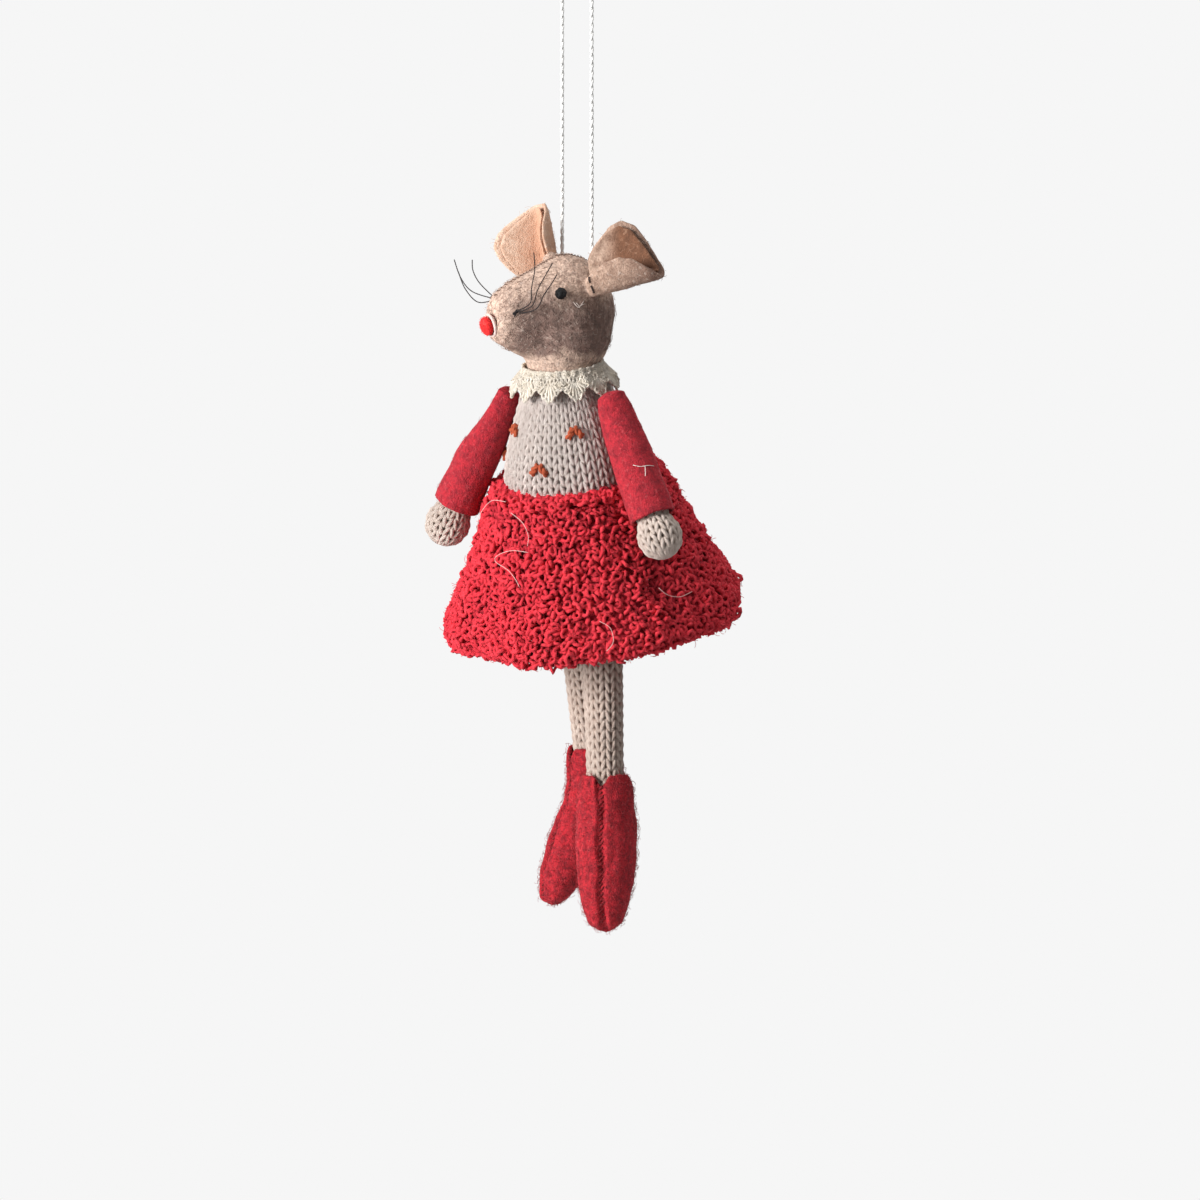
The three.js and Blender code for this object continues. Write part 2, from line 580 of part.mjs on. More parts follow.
function buildLeg(side) {
  const name = sideName(side);
  const pose = legPoses[side];
  const hip = groupAt(
    doll,
    neckPlace.x + side * pose.side,
    neckPlace.y + pose.back,
    torsoTop - torso.height - leg.belowTorso - leg.radius + pose.lift,
  );
  hip.rotation.set(pose.swing, side * -pose.splay, 0, 'YXZ');
  const cuffTop = -pose.length + boot.overlap;
  const legOuter = [
    ...curved(hipShares.map(([r, z]) => [r * leg.radius, z * leg.radius]), 4),
    ...curved([[leg.radius, 0], [leg.radius, cuffTop / 2], [leg.ankle, cuffTop], [leg.ankle, -pose.length]], 5)
      .slice(1),
  ];
  const legSection = [...legOuter, ...inset(legOuter, leg.knit).reverse()];
  add(hip, `leg_${name}_knit`, turned(legSection, 16), colour.legKnit);
  const fill = [...inset(legOuter, leg.knit + gap), [0, -pose.length]];
  add(hip, `leg_${name}_stuffing`, turned(fill, 12), colour.wool);

  const foot = groupAt(hip, 0, 0, cuffTop);
  foot.rotation.z = side * pose.toeOut;
  const bend = (v) => {
    const below = Math.max(-v.z - boot.overlap, 0);
    const fromHeel = (-v.z / boot.length - heelPlaceShare) / heelSpreadShare;
    if (v.y > 0) v.y += (v.y / boot.radius) * boot.heel * Math.exp(-fromHeel * fromHeel);
    v.y -= Math.tan(pose.toe) * below;
  };
  const bootOuter = curved([
    [boot.cuffRadius, 0],
    ...bootShares.map(([r, d]) => [r * boot.radius, -d * boot.length]),
  ], 13);
  const liningAt = (distance) => inset(bootOuter, distance).map(([r, z]) => {
    const room = leg.ankle + gap;
    return [z > -boot.overlap - gap && r < room && r > 0 ? room : r, z];
  });
  const shell = turned([...bootOuter, ...liningAt(boot.felt).reverse(), bootOuter[0]], 20);
  const wedgeOutline = [
    [-boot.notchWidth / 2, overrun], [boot.notchWidth / 2, overrun], [boot.notchWidth / 2, 0],
    [0, -boot.notchDepth], [-boot.notchWidth / 2, 0],
  ];
  const wedgeShape = new THREE.Shape(wedgeOutline.map(([x, y]) => new THREE.Vector2(x, y)));
  const wedge = new THREE.ExtrudeGeometry(wedgeShape, { depth: 2 * boot.cuffRadius, bevelEnabled: false })
    .rotateX(quarterTurn);
  add(foot, `boot_${name}_felt`, shaped(cut(shell, wedge), bend), colour.boot);
  const fillBoot = liningAt(boot.felt + gap).filter(([, z]) => z < -boot.overlap - gap);
  const plug = turned([[0, fillBoot[0][1]], ...fillBoot], 14);
  add(foot, `boot_${name}_stuffing`, shaped(plug, bend), colour.wool);

  const bootForm = turned([[0, 0], ...bootOuter], 20);
  const seam = bootSeamShares.map((share) => {
    const { place, out } = meet(bootForm, [nearMiddle, 0, -share * boot.length], [0, -1, 0]);
    return place.addScaledVector(out, boot.seamThread / 2 + 1.5 * gap).setX(0);
  });
  seam.forEach(bend);
  add(foot, `boot_${name}_seam`, tube(seam.map((p) => p.toArray()), boot.seamThread, 6, 14), colour.bootSeam);
}
buildLeg(left);
buildLeg(right);

export default doll;
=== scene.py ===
"""Hanging mouse decoration: a felt head, a knitted body, a looped-yarn skirt and felted boots."""

import json
import math
import random
from itertools import accumulate

import bmesh
import bpy
from mathutils import Matrix, Vector, noise
from mathutils.bvhtree import BVHTree

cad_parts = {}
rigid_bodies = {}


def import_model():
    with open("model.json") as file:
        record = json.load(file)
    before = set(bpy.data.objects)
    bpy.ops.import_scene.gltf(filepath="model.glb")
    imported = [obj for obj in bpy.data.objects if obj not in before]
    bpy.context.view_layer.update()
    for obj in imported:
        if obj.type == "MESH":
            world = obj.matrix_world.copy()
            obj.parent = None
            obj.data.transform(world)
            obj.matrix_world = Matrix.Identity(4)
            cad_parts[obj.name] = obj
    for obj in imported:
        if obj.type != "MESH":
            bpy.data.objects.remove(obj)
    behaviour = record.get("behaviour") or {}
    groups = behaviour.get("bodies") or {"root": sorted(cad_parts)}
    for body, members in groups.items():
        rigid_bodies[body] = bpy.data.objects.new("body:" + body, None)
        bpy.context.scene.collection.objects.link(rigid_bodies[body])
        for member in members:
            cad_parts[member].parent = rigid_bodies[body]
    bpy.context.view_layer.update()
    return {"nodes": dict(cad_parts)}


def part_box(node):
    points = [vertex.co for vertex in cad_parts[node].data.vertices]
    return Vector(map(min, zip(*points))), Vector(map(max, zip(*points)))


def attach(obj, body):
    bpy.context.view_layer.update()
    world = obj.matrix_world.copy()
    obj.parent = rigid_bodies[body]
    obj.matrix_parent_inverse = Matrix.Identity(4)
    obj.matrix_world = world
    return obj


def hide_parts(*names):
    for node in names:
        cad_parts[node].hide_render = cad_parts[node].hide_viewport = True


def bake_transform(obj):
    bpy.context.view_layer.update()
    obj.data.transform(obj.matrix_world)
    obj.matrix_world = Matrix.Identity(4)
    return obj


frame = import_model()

bl_info = {
    "name": "Hanging mouse decoration",
    "version": (1, 0, 0),
    "blender": (4, 5, 0),
    "location": "3D view > Sidebar > Mouse",
    "description": "Dresses the hanging mouse in felt, knitting, lace and looped yarn",
    "category": "Object",
}

MM = 0.001
SIDES = ("left", "right")

# The string's centre line in its own plane, in millimetres: sideways, height.
STRING_TURN = math.radians(-32)
STRING_HALF = [(9, -86.1), (9, -80), (9, -72), (9, -62), (9, -50), (9, -38), (9, -26), (9, -16),
               (9, -11), (8.63, -7), (7.42, -4.4), (5.2, -2.1), (2.7, -0.9)]
STRING_LINE = STRING_HALF + [(0, -0.55)] + [(-x, z) for x, z in reversed(STRING_HALF)]

# The photograph's view: its middle, the width of one of its 1200 columns, and its directions.
MIDDLE = Vector((5.2, 3.25, -171.3)) * MM
COLUMN = 0.267 * MM
RIGHT = Vector((math.cos(math.radians(32)), math.sin(math.radians(32)), 0))
TOWARDS = (Vector((RIGHT.y, -RIGHT.x, 0)) * math.cos(math.radians(6))
           + Vector((0, 0, math.sin(math.radians(6)))))
UP = TOWARDS.cross(RIGHT)


def placed(x, y, z, lean=0, slant=0, turn=0):
    """The place of a limb, in millimetres and degrees: leaned about X, slanted about Y, turned about Z."""
    return (Matrix.Translation(Vector((x, y, z)) * MM)
            @ Matrix.Rotation(math.radians(slant), 4, "Y")
            @ Matrix.Rotation(math.radians(lean), 4, "X")
            @ Matrix.Rotation(math.radians(turn), 4, "Z"))


WAIST = 30.2  # how far under the torso's top the skirt is sewn on, in millimetres
AXIS = (-2.226, -3.562)  # where the line of the head and the torso stands, in millimetres
HEAD = placed(*AXIS, -93.6, turn=-32)
TORSO = placed(*AXIS, -109.182, lean=13)
COLLAR = placed(*AXIS, -108.382, lean=9.1)
ARMS = {"left": placed(15.274, -5.762, -118.582, lean=-4, slant=-25.5),
        "right": placed(-19.726, -5.762, -118.582, lean=-4, slant=25.5)}
LEGS = {"left": placed(5.074, 3.838, -162.982, lean=-3, slant=-3.3),
        "right": placed(-8.626, 11.638, -161.682, lean=9, slant=-1)}
FEET = {"left": LEGS["left"] @ placed(0, 0, -54.8, turn=22),
        "right": LEGS["right"] @ placed(0, 0, -51.1, turn=-38)}


# ---------------------------------------------------------------- finishes

def tint(red, green, blue):
    """A colour as it is seen on a screen, 0 to 255, as Blender's linear values."""
    def linear(value):
        value /= 255
        return value / 12.92 if value <= 0.04045 else ((value + 0.055) / 1.055) ** 2.4
    return (linear(red), linear(green), linear(blue), 1.0)


class Level:
    """A value of a material, which Python sums turn into Math nodes."""

    def __init__(self, finish, socket):
        self.finish, self.socket = finish, socket

    def math(self, operation, one, other):
        return self.finish.node("Math", {"operation": operation}, {0: one, 1: other})

    def __add__(self, other):
        return self.math("ADD", self, other)

    def __sub__(self, other):
        return self.math("SUBTRACT", self, other)

    def __rsub__(self, other):
        return self.math("SUBTRACT", other, self)

    def __mul__(self, other):
        return self.math("MULTIPLY", self, other)


class Finish:
    """A material for one of the mouse's surfaces."""

    def __init__(self, name, **uniform):
        self.material = bpy.data.materials.new(name)
        self.material.use_nodes = True
        self.tree = self.material.node_tree
        self.shader = self.tree.nodes["Principled BSDF"]
        for socket, value in uniform.items():
            self.shader.inputs[socket.replace("_", " ")].default_value = value
        self.here = self.node("TexCoord", {}, {}, "Object")

    def node(self, kind, settings, values, output=0):
        """Adds a node, gives it its settings, and joins or sets its sockets."""
        made = self.tree.nodes.new("ShaderNode" + kind)
        for name, value in settings.items():
            setattr(made, name, value)
        for name, value in values.items():
            self.join(value, made.inputs[name])
        return Level(self, made.outputs[output])

    def join(self, value, socket):
        if isinstance(value, Level):
            self.tree.links.new(value.socket, socket)
        else:
            socket.default_value = value

    def speckle(self, size, detail=3.0, roughness=0.5):
        """Soft random spots about this many millimetres across."""
        return self.node("TexNoise", {}, {"Vector": self.here, "Scale": 1 / (size * MM),
                                          "Detail": detail, "Roughness": roughness})

    def hairs(self, size, width):
        """Short bent lines, as of single fibres: the level lines of a soft noise, broken by another."""
        level = self.node("Math", {"operation": "ABSOLUTE"}, {0: self.speckle(size, 1.0) - 0.5})
        return (1 - self.steps(0.0, width, level)) * self.steps(0.46, 0.58, self.speckle(size * 0.6, 1.0))

    def along(self, direction, start, end):
        """Goes smoothly from 0 to 1 between two places, in millimetres, along a direction."""
        way = self.node("VectorMath", {"operation": "DOT_PRODUCT"}, {0: self.here, 1: direction}, 1)
        return self.steps(start * MM, end * MM, way)

    def steps(self, low, high, value):
        """Goes smoothly from 0 to 1 as the value goes from low to high."""
        return self.node("MapRange", {"interpolation_type": "SMOOTHSTEP"},
                         {"Value": value, "From Min": low, "From Max": high})

    def part(self, vector, axis):
        """One of the three values of a vector."""
        return self.node("SeparateXYZ", {}, {0: vector}, axis)

    def standing(self):
        """How far the surface stands out, as measured() keeps it with each point."""
        return self.node("Attribute", {"attribute_name": "height"}, {}, "Fac")

    def mixed(self, share, one, other):
        return self.node("Mix", {"data_type": "RGBA"}, {0: share, 6: one, 7: other}, 2)

    def colour(self, value):
        self.join(value, self.shader.inputs["Base Color"])

    def raised(self, height, distance, strength=1.0):
        """Lets a height show on the surface, this many millimetres high."""
        bump = self.node("Bump", {}, {"Height": height, "Distance": distance * MM, "Strength": strength})
        self.join(bump, self.shader.inputs["Normal"])


def wool(name, tone, sheen=0.2, rough=0.95):
    """The start of every woollen finish: dull, with a soft sheen."""
    return Finish(name, Roughness=rough, Sheen_Weight=sheen, Sheen_Tint=tone)


def matted(felt, light, dark, fleck, size=1.6, nap=0.25):
    """Makes a finish matted wool: two tones in soft spots, fine fibres and a napped surface."""
    spots = felt.steps(0.36, 0.66, felt.speckle(size, 6.0, 0.65))
    grain = felt.steps(0.3, 0.7, felt.speckle(0.6, 3.0))
    base = felt.mixed(spots * 0.55 + grain * 0.25, light, dark)
    base = felt.mixed(felt.hairs(1.5, 0.05) * 0.5, base, dark)
    felt.colour(felt.mixed(felt.hairs(2.1, 0.03) * 0.35, base, fleck))
    felt.raised(felt.speckle(0.35, 3.0) + felt.speckle(1.3, 2.0), nap)
    return felt.material


def felt_finish(name, light, dark, fleck, size=1.6, nap=0.25):
    """Plain felt of one colour."""
    return matted(wool(name, light), light, dark, fleck, size, nap)


def yarn_finish(name, light, dark, twists, plies=3, depth=0.16, knit=False):
    """Spun yarn: its plies wind round it with painted shade in their grooves, its tone changes along it, and
    knitting gets painted shade where it sinks.
    """
    yarn = wool(name, light, rough=0.9)
    around, along = (yarn.part(yarn.node("UVMap", {}, {}), axis) for axis in (0, 1))
    wound = yarn.node("Math", {"operation": "SINE"}, {0: (along * twists + around * plies) * math.tau})
    tone = yarn.steps(0.3, 0.7, yarn.speckle(2.2, 3.0))
    grooves = yarn.steps(-1.0, 0.0, wound)
    tone_and_valley_shade = yarn.mixed(tone * 0.4, light, dark)
    # Painted shade: knitted yarn is darker where it sinks between the stitches.
    if knit:
        tone_and_valley_shade = yarn.mixed((1 - yarn.steps(0.2, 0.75, yarn.standing())) * 0.75, tone_and_valley_shade, dark)
    # Painted shade: the yarn is darker in the grooves between its plies.
    yarn.colour(yarn.mixed(grooves * 0.2 + 0.8, dark, tone_and_valley_shade))
    yarn.raised(wound * 0.5 + yarn.speckle(0.3, 2.0), depth, 0.8)
    return yarn.material


def boucle_finish(name, bright, deep, dark):
    """Looped wool: brighter on some loops, deeper in patches, with fine fibres and painted shade low between
    the loops.
    """
    loops = wool(name, bright, 0.25, 0.88)
    each = loops.steps(0.38, 0.62, loops.speckle(2.4, 2.0))
    grain = loops.steps(0.35, 0.65, loops.speckle(0.5, 4.0, 0.7))
    tone = loops.mixed(each * 0.45 + grain * 0.4, bright, deep)
    # Painted shade: loops are darker where they lie low, down to the dark colour of the hollows.
    loops.colour(loops.mixed(loops.steps(0.05, 0.7, loops.standing()), dark, tone))
    loops.raised(loops.speckle(0.3, 4.0, 0.7), 0.35)
    return loops.material


# ---------------------------------------------------------------- making

def added(name, data):
    """Puts an object in the scene."""
    item = bpy.data.objects.new(name, data)
    bpy.context.scene.collection.objects.link(item)
    return item


def aimed(name, data, offset):
    """Adds a camera or a lamp that looks at the middle of the view, from this far off."""
    item = added(name, data)
    item.location = MIDDLE + offset
    item.rotation_euler = (-offset).to_track_quat("-Z", "Y").to_euler()
    return item


def piece(name, mesh, finish, body, nodes=()):
    """Puts a finished mesh in the scene, on its body, in place of the CAD nodes that it stands for."""
    item = added(name, mesh)
    mesh.materials.clear()
    mesh.materials.append(finish)
    mesh.shade_smooth()
    if body:
        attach(item, body)
    if nodes:
        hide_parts(*nodes)
    return item


def mesh_of(shape, name="shape"):
    mesh = bpy.data.meshes.new(name)
    shape.to_mesh(mesh)
    shape.free()
    return mesh


def strands(paths, thickness, sides=1, closed=False):
    """The mesh of round strands along these paths, with 4, 6 or 8 faces round for sides 0, 1 or 2."""
    line = bpy.data.curves.new("strands", "CURVE")
    line.dimensions = "3D"
    line.bevel_depth = thickness / 2
    line.bevel_resolution = sides
    line.use_fill_caps = True
    for path in paths:
        spline = line.splines.new("POLY")
        spline.points.add(len(path) - 1)
        spline.points.foreach_set("co", [value for point in path for value in (*point, 1)])
        spline.use_cyclic_u = closed
    item = bpy.data.objects.new("strands", line)
    mesh = bpy.data.meshes.new_from_object(item)
    bpy.data.objects.remove(item)
    bpy.data.curves.remove(line)
    shape = bmesh.new()
    shape.from_mesh(mesh)
    bmesh.ops.remove_doubles(shape, verts=shape.verts, dist=1e-7)
    shape.to_mesh(mesh)
    shape.free()
    return mesh


def curved(points, count):
    """Points spread evenly on a smooth line through the given ones."""
    dense = []
    last = len(points) - 1
    for i in range(last):
        before, start = points[max(i - 1, 0)], points[i]
        end, after = points[i + 1], points[min(i + 2, last)]
        for k in range(16):
            t = k / 16
            dense.append(0.5 * (2 * start + (end - before) * t
                                + (2 * before - 5 * start + 4 * end - after) * t * t
                                + (3 * start - before - 3 * end + after) * t ** 3))
    dense.append(points[last])
    lengths = [*accumulate(((b - a).length for a, b in zip(dense, dense[1:])), initial=0.0)]
    even, k = [], 0
    for i in range(count):
        want = lengths[-1] * i / (count - 1)
        while k < len(dense) - 2 and lengths[k + 1] < want:
            k += 1
        share = (want - lengths[k]) / max(lengths[k + 1] - lengths[k], 1e-9)
        even.append(dense[k].lerp(dense[k + 1], share))
    return even


def twisted(line, offset, pitch, plies=2):
    """The paths of plies that wind round a line."""
    paths = [[] for _ in range(plies)]
    across = (line[1] - line[0]).orthogonal().normalized()
    travelled = 0.0
    for i, point in enumerate(line):
        ahead = (line[min(i + 1, len(line) - 1)] - line[max(i - 1, 0)]).normalized()
        across = (across - ahead * across.dot(ahead)).normalized()
        over = ahead.cross(across)
        if i:
            travelled += (point - line[i - 1]).length
        for ply, path in enumerate(paths):
            angle = math.tau * (travelled / pitch + ply / plies)
            path.append(point + (across * math.cos(angle) + over * math.sin(angle)) * offset)
    return paths


def thread(line, thickness, count):
    """The mesh of a two-ply twisted thread along a few points."""
    return strands(twisted(curved(line, count), thickness / 4, thickness * 3), thickness / 2 * 1.1)


def surface_of(*nodes):
    """The merged surface of some CAD nodes."""
    shape = bmesh.new()
    for node in nodes:
        shape.from_mesh(frame["nodes"][node].data)
    bmesh.ops.remove_doubles(shape, verts=shape.verts, dist=1e-6)
    return shape


def tree_of(*nodes):
    shape = surface_of(*nodes)
    tree = BVHTree.FromBMesh(shape)
    shape.free()
    return tree


def tree_over(mesh):
    return BVHTree.FromPolygons([v.co for v in mesh.vertices], [p.vertices for p in mesh.polygons])


def outside(tree, centre, direction, reach=0.06):
    """Where a surface is met from outside, looking back along a direction to a centre."""
    return tree.ray_cast(centre + direction * reach, -direction, reach)[0]


def felted(shape, voxel, lumps, seed, whole=False, rounds=6):
    """Remeshes a shape finely and gives it the uneven surface of felt."""
    item = added("felt", mesh_of(shape))
    remesh = item.modifiers.new("Fine mesh", "REMESH")
    remesh.mode = "VOXEL"
    remesh.voxel_size = voxel * MM
    smooth = item.modifiers.new("Rounded", "SMOOTH")
    smooth.factor, smooth.iterations = 0.5, rounds
    bpy.context.view_layer.update()
    mesh = bpy.data.meshes.new_from_object(item.evaluated_get(bpy.context.evaluated_depsgraph_get()))
    bpy.data.objects.remove(item)
    if whole:
        mesh = largest(mesh)
    start = Vector((seed, seed * 2, seed * 3))
    normals = [vertex.normal.copy() for vertex in mesh.vertices]
    for vertex, normal in zip(mesh.vertices, normals):
        wave = noise.noise(vertex.co * 160 + start) + 0.5 * noise.noise(vertex.co * 420 + start)
        vertex.co += normal * wave * lumps * MM
    return mesh


def largest(mesh):
    """Keeps the biggest connected part of a mesh, so that no closed bubble stays inside."""
    shape = bmesh.new()
    shape.from_mesh(mesh)
    unseen, best = set(shape.verts), set()
    while unseen:
        group, edge = set(), {unseen.pop()}
        while edge:
            group |= edge
            unseen -= edge
            edge = {link.other_vert(vert) for vert in edge for link in vert.link_edges} & unseen
        best = max(best, group, key=len)
    extra = [vert for vert in shape.verts if vert not in best]
    bmesh.ops.delete(shape, geom=extra, context="VERTS")
    shape.to_mesh(mesh)
    shape.free()
    return mesh


def fibres(mesh, count, length, seed, lie=0.7):
    """Paths of loose fibres that stand on a felt surface."""
    chance = random.Random(seed)
    faces = list(mesh.polygons)
    paths = []
    for face in chance.choices(faces, [face.area for face in faces], k=count):
        across = Vector([chance.gauss(0, 1) for _ in range(3)])
        across = (across - face.normal * across.dot(face.normal)).normalized()
        over = face.normal.cross(across) * chance.uniform(-0.7, 0.7)
        reach = length * MM * chance.uniform(0.4, 1.4)
        start = face.center - face.normal * 0.0001
        paths.append([start,
                      start + (face.normal * (1 - lie) + across * 0.3) * reach,
                      start + (face.normal * (1 - lie) * 1.5 + across * 0.7 + over * 0.4) * reach,
                      start + (face.normal * (1 - lie) * 1.4 + across + over) * reach])
    return paths


def knitting(name, node, place, body, finish, row, yarn, stitches, ends, short=0, sink=0.4, spare=3):
    """Knits a piece over a CAD node: each row is one closed line that loops through the next.

    In millimetres: the rows' height, the yarn's thickness, how far the first and last rows stay
    from the node's ends, what isn't counted for rows, and the radius where no surface is met.
    """
    tree = tree_of(node)
    back = place.inverted()
    depths = [-(back @ vertex.co).z / MM for vertex in frame["nodes"][node].data.vertices]
    rows = round((max(depths) - min(depths) - short) / row)
    top, bottom = min(depths) + ends[0], max(depths) - ends[1]
    height = (bottom - top) / (rows - 1)
    paths = []
    for number in range(rows):
        path = []
        reach = None
        for step in range(stitches * 12):
            turn = math.tau * step / 12
            angle = math.tau * (step / 12 + 0.26 * math.sin(2 * turn)) / stitches
            down = min(top + number * height - height * 0.82 * math.cos(turn), bottom + 0.5)
            axis = place @ Vector((0, 0, -down * MM))
            direction = place.to_3x3() @ Vector((math.cos(angle), math.sin(angle), 0))
            hit = outside(tree, axis, direction)
            reach = (hit - axis).length if hit else (reach or spare * MM)
            proud = -yarn * 0.3 * math.cos(2 * turn) - yarn * sink
            path.append(axis + direction * max(reach + proud * MM, 0.0002))
        paths.append(path)
    # The heights kept here let a knitted finish paint shade where the yarn sinks.
    mesh = measured(strands(paths, yarn * MM, 1, True), tree, -0.4, 0.5)
    return piece(name, mesh, finish, body, [node])


def seen(tree, x, y, lift):
    """The point of a surface at this place in the view, raised by this many millimetres."""
    start = MIDDLE + (RIGHT * (x - 600) + UP * (600 - y)) * COLUMN
    hit, normal, _, _ = tree.ray_cast(start + TOWARDS * 0.2, -TOWARDS)
    if hit is None:
        raise RuntimeError(f"no surface is seen at {x}, {y}")
    return hit + normal * lift * MM


def drawn(tree, routes, lift, count=12):
    """Smooth paths on a surface through places in the view."""
    return [curved([seen(tree, x, y, lift) for x, y in route], count) for route in routes]


def stitched(tree, stitches, reach=0.06):
    """The paths of stitches on a surface: each point has a start, a direction and a lift."""
    paths = []
    for stitch in stitches:
        hits = [outside(tree, start, away, reach) for start, away, _ in stitch]
        if all(hits):
            paths.append([hit + away * lift * MM for hit, (_, away, lift) in zip(hits, stitch)])
    return paths


def circle(place, radius, height, count, stretch=1.0):
    """Points once round a limb's own line, in millimetres; the last one is on the first."""
    return [place @ (Vector((radius * math.cos(a), radius * stretch * math.sin(a), height)) * MM)
            for a in (math.tau * i / count for i in range(count + 1))]


def turned(shape, profile, count):
    """Spins a profile of radius and height, in millimetres, round the Z axis into a shape."""
    line = [shape.verts.new(Vector((radius, 0, height)) * MM) for radius, height in profile]
    edges = [shape.edges.new(pair) for pair in zip(line, line[1:])]
    bmesh.ops.spin(shape, geom=line + edges, cent=(0, 0, 0), axis=(0, 0, 1), angle=math.tau, steps=count,
                   use_merge=True)
    bmesh.ops.remove_doubles(shape, verts=shape.verts, dist=1e-6)
    bmesh.ops.recalc_face_normals(shape, faces=shape.faces)


def measured(mesh, tree, low, high):
    """Keeps with each point how far it stands out of a surface, from 0 to 1, for the painted shade of its
    hollows.
    """
    values = []
    for vertex in mesh.vertices:
        place, normal, _, _ = tree.find_nearest(vertex.co)
        share = ((vertex.co - place).dot(normal) / MM - low) / (high - low)
        values.append(min(max(share, 0.0), 1.0))
    mesh.attributes.new("height", "FLOAT", "POINT").data.foreach_set("value", values)
    return mesh


def padding(name, node, body, finish):
    """The stuffing that shows between the stitches of a knitted piece."""
    mesh = felted(surface_of(node), 0.8, 0.1, 7, whole=True)
    return piece(name, mesh, finish, body, [node])


def curl(chance, centre, outward, radius):
    """The path of one springy loop of looped yarn, which rises from the cloth and goes back."""
    across = outward.orthogonal().normalized()
    across.rotate(Matrix.Rotation(chance.uniform(0, math.tau), 3, outward))
    over = outward.cross(across)
    tilt = chance.uniform(-1.2, 1.2)
    upward = outward * math.cos(tilt) + over * math.sin(tilt)
    beside = over * math.cos(tilt) - outward * math.sin(tilt)
    turns, start = chance.uniform(0.8, 1.5), chance.uniform(0, math.tau)
    narrow, wander = chance.uniform(0.6, 1.0), chance.uniform(0, math.tau)
    path = []
    for i in range(10):
        angle = start + math.tau * turns * i / 9
        wide = radius * (0.7 + 0.3 * math.sin(wander + 0.7 * i))
        rise = radius * (1.3 * math.sin(math.pi * i / 9) - 0.7 + 0.25 * math.sin(wander + 1.4 * i))
        path.append(centre + across * math.cos(angle) * wide
                    + beside * math.sin(angle) * wide * narrow + upward * rise)
    return path


# ---------------------------------------------------------------- settings

def length(name, millimetres, description):
    return bpy.props.FloatProperty(name=name, description=description, default=millimetres * MM,
                                   min=0.0, precision=5, subtype="DISTANCE", unit="LENGTH")


def colour(name, shade, description):
    return bpy.props.FloatVectorProperty(name=name, description=description, default=tint(*shade),
                                         size=4, min=0.0, max=1.0, subtype="COLOR")


def power(name, watts, description):
    return bpy.props.FloatProperty(name=name, description=description, default=watts, min=0.0, unit="POWER")


class StringSettings(bpy.types.PropertyGroup):
    thickness: length("Thickness", 1.1, "Across both plies of the hanging string")
    pitch: length("Twist", 4.2, "Length of one full turn of the two plies")
    cotton: colour("Cotton", (255, 254, 252), "Colour of the string")


class FeltSettings(bpy.types.PropertyGroup):
    crown: colour("Crown", (226, 196, 176), "Felt of the forehead, the snout's top and the chin")
    cheek: colour("Cheek", (132, 106, 98), "Darker wool of the cheeks and the back of the head")
    ear: colour("Ear", (178, 148, 130), "Outer felt of the ears")
    lining: colour("Ear lining", (128, 86, 62), "Felt inside the ears")
    nose: colour("Nose", (236, 46, 44), "Wool of the nose")


class KnitSettings(bpy.types.PropertyGroup):
    yarn: length("Yarn", 1.3, "Thickness of the knitting yarn")
    row: length("Row height", 2.5, "From one row of stitches to the next")
    beige: colour("Beige yarn", (252, 238, 230), "Yarn of the body and the legs")
    cream: colour("Cream yarn", (250, 232, 220), "Yarn of the hands")
    rust: colour("Rust yarn", (174, 78, 44), "Yarn of the marks on the body")
    lace: colour("Lace", (255, 246, 232), "Thread of the collar")


class SkirtSettings(bpy.types.PropertyGroup):
    spacing: length("Loop spacing", 1.4, "Smallest distance between two loops")
    loop: length("Loop radius", 1.4, "Radius of one loop of the yarn")
    yarn: length("Yarn", 1.15, "Thickness of the looped yarn")
    bright: colour("Bright wool", (238, 58, 72), "Colour of most loops")
    deep: colour("Deep wool", (204, 28, 48), "Colour of the deeper loops")


class FeltedSettings(bpy.types.PropertyGroup):
    sleeve: colour("Sleeves", (190, 36, 50), "Felt of the sleeves")
    boot: colour("Boots", (198, 32, 46), "Felted wool of the boots")
    fibre: length("Fibre length", 1.3, "Length of the loose fibres on the boots")


class StageSettings(bpy.types.PropertyGroup):
    key: power("Key light", 17.0, "Power of the main lamp")
    back: power("Back light", 7.0, "Power of the lamp behind the mouse")
    fill: power("Fill light", 5.5, "Power of the lamp above")
    backdrop: colour("Backdrop", (246, 246, 246), "Flat colour behind the mouse")


# ---------------------------------------------------------------- operators

